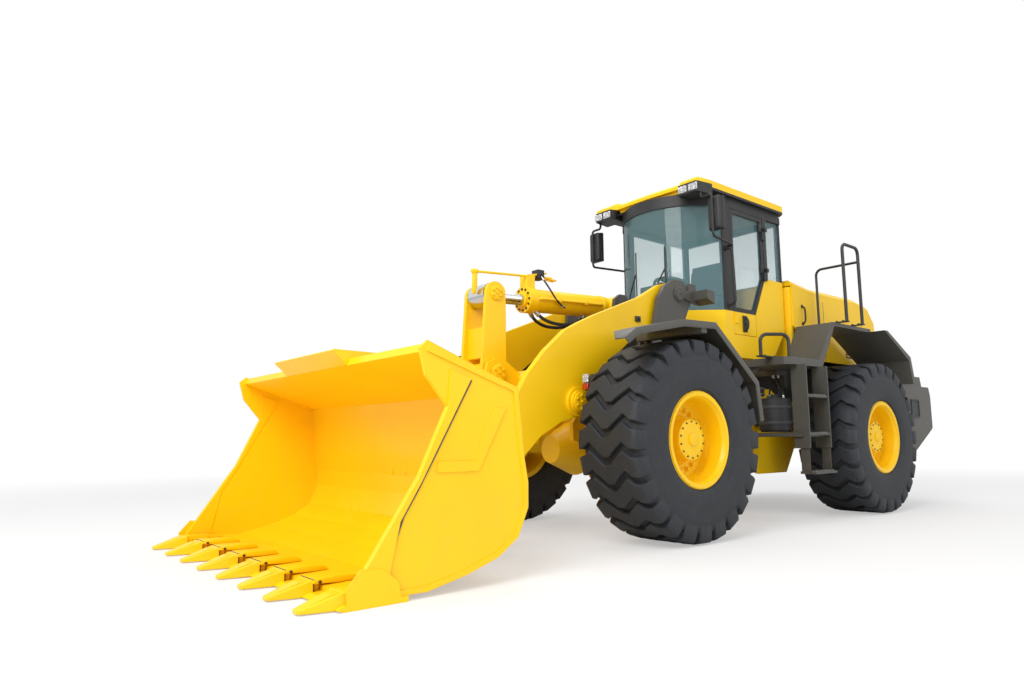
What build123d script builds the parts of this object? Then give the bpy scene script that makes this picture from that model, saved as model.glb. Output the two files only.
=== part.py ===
"""Wheel loader, full size, as an assembly of separate pieces.
Millimetres. +X forward, +Y the machine's left, +Z up. The pieces are drawn with x = 0 on the
articulation axis and moved by HINGE_X on export, so that the origin lies under the middle of
the machine's bounding box."""
import os
from math import cos, sin, radians, degrees, atan2, hypot
from build123d import *

# Driving dimensions
nose_x = 4805.0            # tooth tips
tail_x = -3350.0           # rear face of the counterweight
HINGE_X = -(nose_x + tail_x) / 2
axle_front_x, axle_rear_x = 1600.0, -1600.0
track_half = 1095.0        # wheel centre from the middle plane
tyre_radius = 797.0        # over the lugs
tyre_base_radius = 757.0   # between the lugs
tyre_half_width = 298.5
lug_count, lug_half = 24, 0.36          # half a lug's length, in pitches
tyre_bead_radius = 345.0
rim_radius = 381.0
rim_half_width = 267.0
spindle_radius = 90.0
fit = 0.05                 # radial running fit at pins

# pin places in the middle plane (x, z)
boom_pivot = (940.0, 2140.0)
bucket_pivot = (3250.0, 330.0)
rocker_pivot = (2690.0, 1350.0)
rocker_top = (2670.0, 2020.0)
rocker_low = (2633.0, 702.0)
bucket_upper = (3310.0, 800.0)
tilt_base = (1150.0, 2085.0)
lift_base = (600.0, 1150.0)
lift_rod = (2216.0, 1106.0)
lift_y = 410.0
steer_base = (-550.0, 330.0)
steer_rod = (420.0, 380.0)
steer_z = 620.0
hood_hinge = (-2900.0, 1640.0)
hood_pin_radius = 20.0
door_hinge = (-587.0, 692.0)
door_pin_radius = 12.0

boom_in, boom_out = 570.0, 630.0       # arm faces in y
boom_pin_radius = 60.0
bucket_pin_radius = 50.0
rocker_in, rocker_out = 123.0, 157.0    # clear of the tilt cylinder's barrel
bucket_half = 1488.0
bucket_plate = 30.0
frame_plate = 40.0
front_plate_y = 290.0                  # middle of the front frame's side plates
rear_plate_y = 450.0
cab_front_x, cab_rear_x = 600.0, -985.0
cab_half = 675.0
cab_seam = (415.0, 460.0)               # where the windshield meets the corner glass, x-y
cab_corner_x = 180.0                   # front end of the flat side
cab_sill_z = 2080.0                    # foot of the glass
cab_floor_z, cab_top_z = 1610.0, 3250.0
cab_wall = 45.0
platform_top, platform_bottom = 1580.0, 1505.0
platform_outer = 1200.0
deck_z = 2000.0
hood_half = 740.0
tow_x, tow_radius = -3262.0, 25.5        # towing pin hole
tow_low, tow_high, tow_lip = 880.0, 1120.0, 60.0
sheet = 12.0


# Drawing helpers
def slab(points, y0, y1, mode=Mode.ADD, mirror_y=False):
    """Plate of an x-z outline between two y values."""
    for a, b in (((y0, y1), (-y1, -y0)) if mirror_y else ((y0, y1),)):
        with BuildSketch(Plane.XZ.offset(-b)) as s:
            with BuildLine():
                Polyline(*points, close=True)
            make_face()
        extrude(s.sketch, amount=b - a, mode=mode)


def flat(points, z0, z1, mode=Mode.ADD):
    """Plate of an x-y outline between two z values."""
    with BuildSketch(Plane.XY.offset(z0)) as s:
        with BuildLine():
            Polyline(*points, close=True)
        make_face()
    extrude(s.sketch, amount=z1 - z0, mode=mode)


def block(x0, x1, y0, y1, z0, z1, mode=Mode.ADD, mirror_y=False):
    for a, b in (((y0, y1), (-y1, -y0)) if mirror_y else ((y0, y1),)):
        with Locations(((x0 + x1) / 2, (a + b) / 2, (z0 + z1) / 2)):
            Box(x1 - x0, b - a, z1 - z0, mode=mode)


def ypin(x, z, r, y0, y1, mode=Mode.ADD, mirror_y=False):
    """Round bar along y."""
    for a, b in (((y0, y1), (-y1, -y0)) if mirror_y else ((y0, y1),)):
        with BuildSketch(Plane.XZ.offset(-b)) as s:
            with Locations((x, z)):
                Circle(r)
        extrude(s.sketch, amount=b - a, mode=mode)


def zpin(x, y, r, z0, z1, mode=Mode.ADD):
    with BuildSketch(Plane.XY.offset(z0)) as s:
        with Locations((x, y)):
            Circle(r)
    extrude(s.sketch, amount=z1 - z0, mode=mode)


def rod(a, b, r, mode=Mode.ADD):
    """Round bar between two points."""
    a, b = Vector(*a), Vector(*b)
    with BuildSketch(Plane(origin=a, z_dir=b - a)) as s:
        Circle(r)
    extrude(s.sketch, amount=(b - a).length, mode=mode)


def rail(points, r, bend=70):
    """Bent tube."""
    with BuildLine() as path:
        FilletPolyline(*points, radius=bend)
    with BuildSketch(Plane(origin=path.line @ 0, z_dir=path.line % 0)) as s:
        Circle(r)
    sweep(s.sketch, path=path.line)


def capsule(a, b, ra, rb, y0, y1, mode=Mode.ADD, mirror_y=False):
    """Lever: two round ends joined by a tapered web, x-z places."""
    ang = atan2(b[1] - a[1], b[0] - a[0])
    nx, nz = -sin(ang), cos(ang)
    pts = [(a[0] + nx * ra, a[1] + nz * ra), (b[0] + nx * rb, b[1] + nz * rb),
           (b[0] - nx * rb, b[1] - nz * rb), (a[0] - nx * ra, a[1] - nz * ra)]
    slab(pts, y0, y1, mode, mirror_y)
    ypin(a[0], a[1], ra, y0, y1, mode, mirror_y)
    ypin(b[0], b[1], rb, y0, y1, mode, mirror_y)


def save(builder, name):
    p = builder.part.moved(Location((HINGE_X, 0, 0)))
    p.label = name
    export_step(p, os.path.join("parts", name + ".step"))


os.makedirs("parts", exist_ok=True)
SIDES = (("left", 1), ("right", -1))

# Wheels
wheel_places = (("front_left", axle_front_x, 1), ("front_right", axle_front_x, -1),
                ("rear_left", axle_rear_x, 1), ("rear_right", axle_rear_x, -1))
# half sections, (radius, distance from the wheel's middle)
tyre_carcass = ((350, 250), (381, 250), (384, 268), (402, 287), (480, tyre_half_width),
                (640, tyre_half_width - 2), (700, 282), (735, 262), (tyre_base_radius, 225))
tyre_inside = ((680, 200), (600, 262), (400, 245), (350, 215))
lug_envelope = ((690, 200), (640, tyre_half_width), (690, tyre_half_width), (752, 272),
                (tyre_radius - 6, 225), (tyre_radius, 150))
# (across, turn in lug pitches)
lug_path = ((-310, -0.02), (-240, -0.05), (-165, -0.3), (0, 0.3), (165, -0.3), (240, -0.05), (310, -0.02))


def ring_section(half):
    """Revolved ring from a half section mirrored about the wheel's middle; drawn on the axle at the origin."""
    with BuildSketch(Plane(origin=(0, 0, 0), x_dir=(0, 1, 0), z_dir=(1, 0, 0))) as s:
        with BuildLine():
            Polyline(*[(w, r) for r, w in half], *[(-w, r) for r, w in reversed(half)], close=True)
        make_face()
    revolve(s.sketch, axis=Axis((0, 0, 0), (0, 1, 0)))


with BuildPart() as lug_ring:
    ring_section(lug_envelope)
pitch = 2 * 3.14159265 * tyre_radius / lug_count
lugs = []
for i in range(lug_count):
    with BuildPart() as lug:
        with BuildSketch(Plane(origin=(0, 0, 600))) as s:
            with BuildLine():
                Polyline(*[((a + lug_half) * pitch, w) for w, a in lug_path],
                         *[((a - lug_half) * pitch, w) for w, a in reversed(lug_path)], close=True)
            make_face()
        extrude(s.sketch, amount=250)
    lugs.append(lug.part.rotate(Axis.Y, 360 / lug_count * i))
with BuildPart() as tyre_plain:
    with BuildSketch(Plane(origin=(0, 0, 0), x_dir=(0, 1, 0), z_dir=(1, 0, 0))) as s:
        with BuildLine():
            Polyline(*[(w, r) for r, w in tyre_carcass], *[(-w, r) for r, w in reversed(tyre_carcass)],
                     *[(-w, r) for r, w in reversed(tyre_inside)], *[(w, r) for r, w in tyre_inside],
                     close=True)
        make_face()
    revolve(s.sketch, axis=Axis((0, 0, 0), (0, 1, 0)))
lug_solids = [lug_ring.part & one for one in lugs]
tyre_part = tyre_plain.part.fuse(*[solid for one in lug_solids for solid in one.solids()])
for name, wx, side in wheel_places:
    tyre = tyre_part.moved(Location((wx + HINGE_X, side * track_half, tyre_radius)))
    tyre.label = "tyre_" + name
    export_step(tyre, os.path.join("parts", "tyre_" + name + ".step"))
    with BuildPart() as rim:
        o = side
        with BuildSketch(Plane(origin=(wx, side * track_half, tyre_radius), x_dir=(0, 1, 0),
                               z_dir=(1, 0, 0))) as s:
            with BuildLine():
                Polyline(*[(o * w, r) for w, r in (
                    (-267, 381), (-250, 381), (-250, 350), (-205, 350), (-190, 342), (190, 342), (205, 350),
                    (250, 350), (250, 381), (267, 381), (267, 340), (235, 325), (110, 318), (70, 300),
                    (52, 200), (100, 170), (185, 160), (195, 120), (195, 0), (80, 0),
                    (80, spindle_radius + fit), (-60, spindle_radius + fit), (-60, 140), (20, 200),
                    (35, 290), (20, 325), (-267, 335))], close=True)
            make_face()
        revolve(s.sketch, axis=Axis((wx, 0, tyre_radius), (0, 1, 0)))
    save(rim, "rim_" + name)

# Axles
for name, ax, nose in (("front_axle", axle_front_x, 1), ("rear_axle", axle_rear_x, 1)):
    with BuildPart() as axle:
        flange = track_half - 145                  # outer face of the brake housing
        ypin(ax, tyre_radius, 125, -flange + 50, flange - 50)
        ypin(ax, tyre_radius, 190, flange - 70, flange, mirror_y=True)
        ypin(ax, tyre_radius, 120, flange - 10, flange + 70, mirror_y=True)
        ypin(ax, tyre_radius, spindle_radius, flange + 50, flange + 210, mirror_y=True)
        with BuildSketch(Plane(origin=(ax - 190, 0, 760), z_dir=(1, 0, 0))) as s:
            Circle(200)
        with BuildSketch(Plane(origin=(ax + 60, 0, 740), z_dir=(1, 0, 0))) as s2:
            Circle(255)
        loft([s.sketch.faces()[0], s2.sketch.faces()[0]])
        with BuildSketch(Plane(origin=(ax + 350, 0, 720), z_dir=(1, 0, 0))) as s3:
            Circle(120)
        loft([s2.sketch.faces()[0], s3.sketch.faces()[0]])
        block(ax - 150, ax + 150, 250, 410, 760, 925, mirror_y=True)
    save(axle, name)

# Front frame
with BuildPart() as front_frame:
    slab(((520, 420), (1150, 420), (1400, 740), (1400, 925), (1820, 925), (1860, 760), (1960, 800),
          (1960, 950), (1800, 1150), (1500, 1250), (620, 1250), (520, 1190)),
         front_plate_y - 20, front_plate_y + 20, mirror_y=True)
    block(520, 570, -275, 275, 430, 1060)
    block(700, 1450, -275, 275, 1190, 1230)
    block(1700, 1750, -275, 275, 1010, 1160)
    slab(((235, 480), (540, 480), (540, 1000), (235, 1000), (235, 900), (330, 850), (330, 600), (235, 560)),
         -190, 190)
    for z0, z1 in ((430, 480), (1000, 1050)):
        flat(((-60, -110), (60, -130), (540, -200), (540, 200), (60, 130), (-60, 110)), z0, z1)
        zpin(0, 0, 130, z0, z1)
        zpin(0, 0, boom_pin_radius + fit, z0 - 1, z1 + 1, Mode.SUBTRACT)
    for z0, z1 in ((540, 556), (684, 700)):
        for s in (1, -1):
            flat(((540, s * 180), (540, s * 320), (480, s * 420), (360, s * 420), (360, s * 340),
                  (440, s * 180)), z0, z1)
    ypin(lift_base[0], lift_base[1], 62, front_plate_y - 20, lift_y - 60, mirror_y=True)
    ypin(lift_base[0], lift_base[1], 42, lift_y - 65, lift_y + 65, mirror_y=True)
    ypin(lift_base[0], lift_base[1], 60, lift_y + 57, lift_y + 75, mirror_y=True)
save(front_frame, "front_frame")

tower_head = ((1232, 2077), (1134, 2198), (1007, 2270), (885, 2271))
tower_foot = ((860, 1900), (860, 995), (1300, 995), (1540, 1250), (1420, 1510))
web_y = front_plate_y + 20             # outer face of the frame plates, where the tower stands on them
with BuildPart() as tower:
    slab(((1301, 1827),) + tower_head + ((790, 2225), (745, 2110)) + tower_foot, 655, 695, mirror_y=True)
    slab(((1250, 1800),) + tower_head + ((850, 2200), (838, 2100)) + tower_foot, 510, 545, mirror_y=True)
    block(880, 1150, 540, 660, 1250, 1560, mirror_y=True)
    block(870, 1300, web_y, 660, 995, 1030, mirror_y=True)
    block(850, 890, -515, 515, 1690, 1990)
    slab(((860, 1250), (1450, 1250), (1330, 1500), (1290, 1780), (890, 1990), (850, 1990), (850, 1690)),
         web_y - 40, web_y, mirror_y=True)
    block(860, 1450, -web_y, web_y, 1250, 1290)
    block(1000, 1290, -web_y + 10, web_y - 10, 1740, 1780)
    slab(((1040, 1760), (1290, 1760), (1260, 2140), (1190, 2190), (1100, 2190), (1040, 2100)), 150, 185,
         mirror_y=True)
    ypin(tilt_base[0], tilt_base[1], 50, -190, 190)
    ypin(boom_pivot[0], boom_pivot[1], boom_pin_radius, 500, 715, mirror_y=True)
    slab(((900, 2180), (900, 2110), (700, 2060), (628, 2060), (628, 2178), (700, 2185), (705, 2255),
          (800, 2255), (810, 2180)), 690, 712, mirror_y=True)
    slab(((628, 2060), (628, 2178), (740, 2185), (740, 2100)), 700, 870, mirror_y=True)
save(tower, "boom_tower")

# Boom, rocker, link
boom_top = ((980, 2260), (1138, 2215), (1407, 2068), (1972, 1850), (2172, 1762), (2327, 1685), (2544, 1505),
            (2734, 1301), (2854, 1111), (3020, 800), (3200, 560), (3360, 430))
boom_low = ((3330, 230), (3150, 225), (3000, 330), (2880, 540), (2755, 701), (2601, 836), (2392, 943),
            (2225, 981), (2120, 1130), (2035, 1292), (1894, 1408), (1519, 1686), (1281, 1827), (1060, 1960),
            (870, 2060), (850, 2180))
with BuildPart() as boom:
    slab(boom_top + boom_low, boom_in, boom_out, mirror_y=True)
    ypin(boom_pivot[0], boom_pivot[1], 125, boom_in - 15, boom_out + 15, mirror_y=True)
    ypin(bucket_pivot[0], bucket_pivot[1], 115, boom_in - 10, boom_out + 10, mirror_y=True)
    ypin(lift_rod[0], lift_rod[1], 118, boom_out - 5, boom_out + 25, mirror_y=True)
    ypin(lift_rod[0], lift_rod[1], 90, boom_out + 20, boom_out + 45, mirror_y=True)
    slab(((2300, 1190), (2470, 1170), (2480, 1320), (2440, 1350), (2300, 1400)), -575, 575)
    ypin(lift_rod[0], lift_rod[1], 80, lift_y + 60, 575, mirror_y=True)
    slab(((2440, 1180), (2450, 1350), (2620, 1465), (2700, 1475), (2790, 1430), (2810, 1340), (2760, 1240),
          (2660, 1215), (2560, 1180)),
         rocker_out + 10, rocker_out + 43, mirror_y=True)
    ypin(rocker_pivot[0], rocker_pivot[1], 50, -rocker_out - 55, rocker_out + 55)
    ypin(boom_pivot[0], boom_pivot[1], boom_pin_radius + fit, -800, 800, Mode.SUBTRACT)
    ypin(bucket_pivot[0], bucket_pivot[1], bucket_pin_radius + fit, -800, 800, Mode.SUBTRACT)
save(boom, "boom")

with BuildPart() as rocker:
    capsule(rocker_pivot, rocker_top, 125, 100, rocker_in, rocker_out, mirror_y=True)
    capsule(rocker_pivot, rocker_low, 125, 85, rocker_in, rocker_out, mirror_y=True)
    ypin(rocker_pivot[0], rocker_pivot[1], 95, -rocker_in - 5, rocker_in + 5)
    block(rocker_pivot[0] - 60, rocker_pivot[0] + 60, -rocker_in - 5, rocker_in + 5, 1480, 1740)
    ypin(rocker_low[0], rocker_low[1], 45, -200, 200, Mode.SUBTRACT)
    ypin(rocker_top[0], rocker_top[1], 45, -200, 200, Mode.SUBTRACT)
    ypin(rocker_pivot[0], rocker_pivot[1], 50 + fit, -200, 200, Mode.SUBTRACT)
save(rocker, "rocker")

with BuildPart() as link:
    capsule(rocker_low, bucket_upper, 75, 70, -60, 60)
    ypin(rocker_low[0], rocker_low[1], 45, -90, 90, Mode.SUBTRACT)
    ypin(bucket_upper[0], bucket_upper[1], 45 + fit, -90, 90, Mode.SUBTRACT)
save(link, "bucket_link")

# Bucket
bucket_side = ((3854, 1163), (3622, 1160), (3516, 1122), (3470, 715), (3441, 562), (3442, 416), (3520, 249),
               (3667, 152), (3875, 85), (4131, 58), (4560, 30), (4560, 75), (4190, 620), (4010, 1000))
shell_out = ((3622, 1160), (3516, 1122), (3470, 715), (3441, 562), (3442, 416), (3520, 249), (3667, 152),
             (3875, 85), (4131, 30), (4530, 30), (4530, 55), (4131, 60), (3882, 112), (3682, 178),
             (3542, 266), (3472, 425), (3471, 558), (3500, 710), (3545, 1095), (3632, 1130))
with BuildPart() as bucket:
    slab(shell_out, -bucket_half + 10, bucket_half - 10)
    slab(bucket_side, bucket_half - 45, bucket_half - 20, mirror_y=True)
    slab(((4010, 1000), (3996, 1204), (3854, 1163), (4176, 596), (4300, 400), (4380, 35), (4560, 35),
          (4560, 75), (4190, 620)), bucket_half - 48, bucket_half - 8, mirror_y=True)
    slab(((3600, 1000), (3800, 640), (4080, 640), (4070, 700), (3830, 700), (3680, 1000)), bucket_half - 22,
         bucket_half - 12, mirror_y=True)
    slab(((3516, 1122), (3622, 1160), (4134, 1347), (4150, 1300), (3632, 1125)), -bucket_half + 10,
         bucket_half - 10)
    slab(((3516, 1122), (3854, 1163), (4010, 1000), (4150, 1167), (4190, 1314), (4142, 1360)),
         bucket_half - 45, bucket_half - 20, mirror_y=True)
    ears = ((3130, 330), (3170, 230), (3300, 215), (3660, 140), (3560, 249), (3460, 416), (3455, 600),
            (3250, 450), (3150, 420))
    slab(ears, 505, 545, mirror_y=True)
    slab(ears, 655, 695, mirror_y=True)
    up = ((3230, 860), (3235, 760), (3300, 720), (3480, 560), (3490, 900), (3520, 1100), (3330, 880))
    slab(up, 78, 110, mirror_y=True)
    ypin(bucket_upper[0], bucket_upper[1], 45, -115, 115)
    ypin(bucket_pivot[0], bucket_pivot[1], 110, 505, 545, mirror_y=True)
    ypin(bucket_pivot[0], bucket_pivot[1], 110, 655, 695, mirror_y=True)
    ypin(bucket_pivot[0], bucket_pivot[1], bucket_pin_radius, 495, 705, mirror_y=True)
save(bucket, "bucket")

tooth_pitch = (2 * bucket_half - 216.0) / 7
teeth_y = [tooth_pitch * (i - 3.5) for i in range(8)]
tooth = ((4420, 57), (4420, 86), (4560, 90), (4640, 80), (4805, 24), (4805, 8), (4650, 0), (4600, 0),
         (4600, 30), (4535, 30), (4535, 57))
with BuildPart() as teeth:
    slab(((4250, 0), (4600, 0), (4640, 12), (4600, 30), (4250, 30)), -bucket_half, bucket_half)
    for ty in teeth_y:
        slab(tooth, ty - 50, ty + 50)
        for s in (1, -1):                                       # tapered to the tip
            flat(((4600, ty + s * 50), (4806, ty + s * 22), (4806, ty + s * 60), (4600, ty + s * 60)), -5,
                 100, Mode.SUBTRACT)
        slab(((4300, 60), (4425, 60), (4425, 86), (4330, 74)), ty - 35, ty + 35)
    slab(((4290, 29), (4590, 29), (4600, 100), (4520, 190), (4400, 180), (4310, 110)), bucket_half - 8,
         bucket_half, mirror_y=True)
save(teeth, "bucket_teeth")

with BuildPart() as guard:
    slab(((4134, 1347), (4240, 1402), (4252, 1392), (4150, 1300)), -500, 500)
    slab(((3940, 1397), (4240, 1402), (4240, 1388), (3940, 1383)), -500, 500)
    slab(((4134, 1347), (4240, 1402), (3940, 1397), (3880, 1254.3)), 480, 500, mirror_y=True)
save(guard, "spill_guard")


# Cylinders
def cylinder(base, tip, y, barrel_r, rod_r, base_pin, base_half, barrel_len, eye_half, name, rod_start,
             horizontal=None):
    """Barrel and rod pieces between two places; rod_start is where the piston end lies as drawn.
    With horizontal set, the places are x-y at that z."""
    length = hypot(tip[0] - base[0], tip[1] - base[1])
    ux, uz = (tip[0] - base[0]) / length, (tip[1] - base[1]) / length
    if horizontal is None:
        def at(d):
            return Vector(base[0] + ux * d, y, base[1] + uz * d)
        across = Vector(0, 1, 0)
    else:
        def at(d):
            return Vector(base[0] + ux * d, base[1] + uz * d, horizontal)
        across = Vector(0, 0, 1)
    eye_r = barrel_r * 0.95

    def eye(d, half, r, mode=Mode.ADD):
        rod(at(d) - across * half, at(d) + across * half, r, mode)
    with BuildPart() as barrel:
        rod(at(eye_r * 0.9), at(barrel_len), barrel_r)
        rod(at(barrel_len - barrel_r * 0.7), at(barrel_len + 25), barrel_r * 1.12)
        eye(0, base_half, eye_r)
        rod(at(eye_r + 40), at(barrel_len - 60), rod_r + 14, Mode.SUBTRACT)
        rod(at(eye_r + 40), at(barrel_len + 30), rod_r + fit, Mode.SUBTRACT)
        eye(0, base_half + 5, base_pin + fit, Mode.SUBTRACT)
        if name == "tilt_cylinder":
            slab(((2150, 2140), (2235, 2140), (2235, 2262), (2010, 2310), (2005, 2298), (2150, 2262)), -45,
                 45)
            slab(((2150, 2140), (2235, 2140), (2235, 2262), (2150, 2262)), -60, -45)
            slab(((1876, 2250), (2060, 2262), (2060, 2274), (1876, 2262)), -30, 30)
    save(barrel, name + "_barrel")
    with BuildPart() as rodp:
        rod(at(rod_start), at(length - eye_r * 0.6), rod_r)
        eye(length, eye_half, eye_r)
        eye(length, eye_half + 5, base_pin, Mode.SUBTRACT)
    save(rodp, name + "_rod")


cylinder(tilt_base, rocker_top, 0, 105, 52, 50, 130, 1080, 110, "tilt_cylinder", 420)
for name, s in SIDES:
    cylinder(lift_base, lift_rod, s * lift_y, 80, 48, 42, 50, 1400, 50, "lift_cylinder_" + name, 185)
    cylinder(steer_base, steer_rod, 0, 52, 28, 30, 50, 650, 50,
             "steer_cylinder_" + name, 400, steer_z) if s > 0 else \
        cylinder((steer_base[0], -steer_base[1]), (steer_rod[0], -steer_rod[1]), 0, 52, 28, 30, 50, 650, 50,
                 "steer_cylinder_" + name, 400, steer_z)

# Front fenders with lamps
# (degrees from straight ahead, height over the tyre)
fender_line = ((39.7, 334), (47, 302), (77.8, 147), (103.2, 166), (148.9, 137), (169.8, 67))
for name, s in SIDES:
    with BuildPart() as fender:
        def arch(extra):
            return [(axle_front_x + (tyre_radius + c + extra) * cos(radians(d)),
                     tyre_radius + (tyre_radius + c + extra) * sin(radians(d))) for d, c in fender_line]
        slab(arch(0) + arch(-12)[::-1], min(s * 760, s * 1400), max(s * 760, s * 1400))
        slab(((1500, 1640), (1560, 1640), (1560, 1714), (1500, 1714)), min(s * 700, s * 1395),
             max(s * 700, s * 1395))
        block(1300, 1380, min(s * 695, s * 775), max(s * 695, s * 775), 1330, 1400)
        slab(((1300, 1330), (1380, 1330), (1560, 1718), (1490, 1718)), min(s * 745, s * 785),
             max(s * 745, s * 785))
    save(fender, "fender_front_" + name)
    with BuildPart() as lamp:
        y0, y1 = min(s * 715, s * 790), max(s * 715, s * 790)
        slab(((2100, 1262), (2205, 1190), (2235, 1235), (2140, 1330)), y0, y1)
        slab(((1500, 1225), (2130, 1225), (2160, 1262), (2120, 1290), (1500, 1245)), min(s * 715, s * 735),
             max(s * 715, s * 735))
        block(1480, 1540, min(s * 695, s * 735), max(s * 695, s * 735), 1225, 1290)
    save(lamp, "headlamp_" + name)

# Rear frame
with BuildPart() as rear_frame:
    slab(((-420, 800), (-505, 720), (-505, 450), (-620, 420), (-1150, 420), (-1350, 700), (-1380, 925),
          (-1820, 925), (-1860, 700), (-2700, 620), (-2950, 900), (-2950, 1130), (-1250, 1130),
          (-900, 1330), (-420, 1330)),
         rear_plate_y - 20, rear_plate_y + 20, mirror_y=True)
    block(-460, -420, -235, 235, 540, 1330)
    block(-460, -420, -440, 440, 1020, 1330)
    block(-1790, -1430, 250, 440, 925, 965, mirror_y=True)
    block(-2400, -2360, -440, 440, 660, 900)
    block(-1330, -1290, -440, 440, 1000, 1130)
    for z0, z1 in ((490, 550), (930, 990)):
        flat(((-60, -110), (60, -100), (60, 100), (-60, 110), (-400, 240), (-460, 440), (-620, 440),
              (-620, -440), (-460, -440), (-400, -240)), z0, z1)
        zpin(0, 0, 130, z0, z1)
    zpin(0, 0, boom_pin_radius, 425, 560)
    zpin(0, 0, boom_pin_radius, 920, 1055)
    block(-460, -230, -120, 120, 540, 940)
    slab(((-2950, 1120), (-2860, 1120), (-2860, 1650), (-2885, 1680), (-2915, 1680), (-2950, 1650)), 430,
         470, mirror_y=True)
    ypin(hood_hinge[0], hood_hinge[1], hood_pin_radius, 380, 470, mirror_y=True)
    block(-1450, -1370, 330, 470, 1130, 1200, mirror_y=True)
    slab(((-560, 1330), (-420, 1330), (200, 1450), (250, 1520), (250, 1560), (-480, 1560), (-480, 1610),
          (-560, 1610)), 430, 470, mirror_y=True)
    block(150, 230, 430, 470, 1560, 1610, mirror_y=True)
    block(-2240, -2160, 330, 470, 1130, 1200, mirror_y=True)
    block(-2640, -2600, 430, 470, 1130, 1540, mirror_y=True)
    block(-900, -840, 250, 430, 1150, 1240, mirror_y=True)
    for s in (1, -1):
        block(-620, -490, min(s * 265, s * 440), max(s * 265, s * 440), 548, 565)
        block(-620, -490, min(s * 265, s * 440), max(s * 265, s * 440), 675, 695)
        block(-640, -618, min(s * 265, s * 440), max(s * 265, s * 440), 548, 695)
        zpin(steer_base[0], s * steer_base[1], 30, 548, 700)
save(rear_frame, "rear_frame")

with BuildPart() as counterweight:
    slab(((-2436, 1329), (-2436, 900), (-2582, 597), (-2743, 594), (-3300, 870), (-3350, 900),
          (-3350, 1290), (-3310, 1400), (-2500, 1400)), -1200, 1200)
    slab(((-2560, 1390), (-2600, 1520), (-3120, 1520), (-3160, 1390)), -1180, 1180)
    block(-2951, -2400, -470, 470, 400, 1600, Mode.SUBTRACT)
    for z0, z1, back in ((700, tow_low, -3150), (tow_low + tow_lip, tow_high - tow_lip, -3150),
                         (tow_high, 1410, -3190)):
        block(-3360, back, -90, 90, z0, z1, Mode.SUBTRACT)
    zpin(tow_x, 0, tow_radius, tow_low - 10, tow_high + 10, Mode.SUBTRACT)
save(counterweight, "counterweight")

with BuildPart() as engine:
    block(-2350, -1250, -330, 330, 1180, 1950)
save(engine, "engine")
with BuildPart() as gearbox:
    block(-1150, -640, -250, 250, 620, 1250)
save(gearbox, "transmission")
with BuildPart() as radiator:
    block(-2760, -2480, -560, 560, 1540, 2180)
save(radiator, "radiator")
with BuildPart() as tank_left:
    zpin(-430, 800, 165, 875, 1180)
    zpin(-430, 800, 150, 858, 1200)
    zpin(-430, 800, 60, 1195, 1240)
    block(-640, -560, 470, 700, 930, 1040)
    block(-640, -540, 640, 760, 930, 1040)
save(tank_left, "tank_left")
with BuildPart() as tank_right:
    block(-750, -140, -1130, -640, 880, 1300)
    block(-640, -560, -660, -470, 900, 1010)
    block(-480, -430, -660, -470, 900, 1010)
save(tank_right, "tank_right")

# Hood
hood_line = ((-1010, 2540), (-1449, 2490), (-2493, 2492), (-2830, 2440), (-2960, 2300), (-2990, 1660),
             (-1600, 1660), (-1010, 2020))
with BuildPart() as hood:
    slab(hood_line, -hood_half, hood_half)
    shoulders = [e for e in hood.edges() if abs(e.center().Y) > hood_half - 1
                 and e.center().Z > 2250 and e.center().X < -1020]
    chamfer(shoulders, 45)
    zpin(-1300, -300, 110, 2490, 2530)
    slab(((-1060, 2480), (-1060, 1900), (-1610, 1600), (-3100, 1600), (-2940, 1700), (-2910, 2290),
          (-2800, 2400), (-2490, 2450), (-1450, 2450)),
         -hood_half + sheet * 2, hood_half - sheet * 2, Mode.SUBTRACT)
    block(-1100, -1000, -hood_half + 24, hood_half - 24, 1900, 2480, Mode.SUBTRACT)
    slab(((-2925, 1612), (-2875, 1612), (-2870, 1660), (-2935, 1780), (-2975, 1780), (-2940, 1670)), 385,
         425, mirror_y=True)
    ypin(hood_hinge[0], hood_hinge[1], hood_pin_radius + fit, -430, 430, Mode.SUBTRACT)
    for z0 in (1750, 2000):                             # side vents
        block(-2520, -2180, hood_half - 30, hood_half + 5, z0, z0 + 130, Mode.SUBTRACT, mirror_y=True)
        for i in range(4):
            block(-2525, -2175, hood_half - 22, hood_half - 4, z0 + 8 + i * 32, z0 + 20 + i * 32,
                  mirror_y=True)
save(hood, "hood")
with BuildPart() as exhaust:
    zpin(-1300, -300, 90, 2530, 2550)
    zpin(-1300, -300, 62, 2550, 2940)
    rod((-1300, -300, 2930), (-1390, -300, 3060), 58)
save(exhaust, "exhaust")
with BuildPart() as grille:
    slab(((-2960, 2300), (-3060, 2240), (-3080, 1680), (-2990, 1680)), -640, 640)
    for i in range(6):
        block(-3100, -3050, -600, 600, 1740 + i * 85, 1790 + i * 85, Mode.SUBTRACT)
save(grille, "grille")

# Cab
side_back = (cab_corner_x, cab_half), (cab_rear_x + 60, cab_half), (cab_rear_x, cab_half - 60)


def plan(z0, z1, inset=0.0, mode=Mode.ADD):
    """Cab plan shape: curved windshield, corner glass at about 45 degrees, flat sides."""
    left = ((cab_corner_x - inset * 0.42, cab_half - inset), (cab_rear_x + 60, cab_half - inset),
            (cab_rear_x + inset, cab_half - 60 - inset * 0.5))
    seam = (cab_seam[0] - inset * 0.8, cab_seam[1] - inset * 0.6)
    with BuildSketch(Plane.XY.offset(z0)) as s:
        with BuildLine():
            ThreePointArc((seam[0], -seam[1]), (cab_front_x - inset, 0), (seam[0], seam[1]))
            Polyline((seam[0], seam[1]), *left, *[(x, -y) for x, y in reversed(left)], (seam[0], -seam[1]))
        make_face()
    extrude(s.sketch, amount=z1 - z0, mode=mode)


# x-z, both panels
door_line = ((28, 1850), (28, 3167), (-572, 3167), (-572, 2486), (-364, cab_sill_z), (-364, 1850))
door_gap = 6
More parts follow.
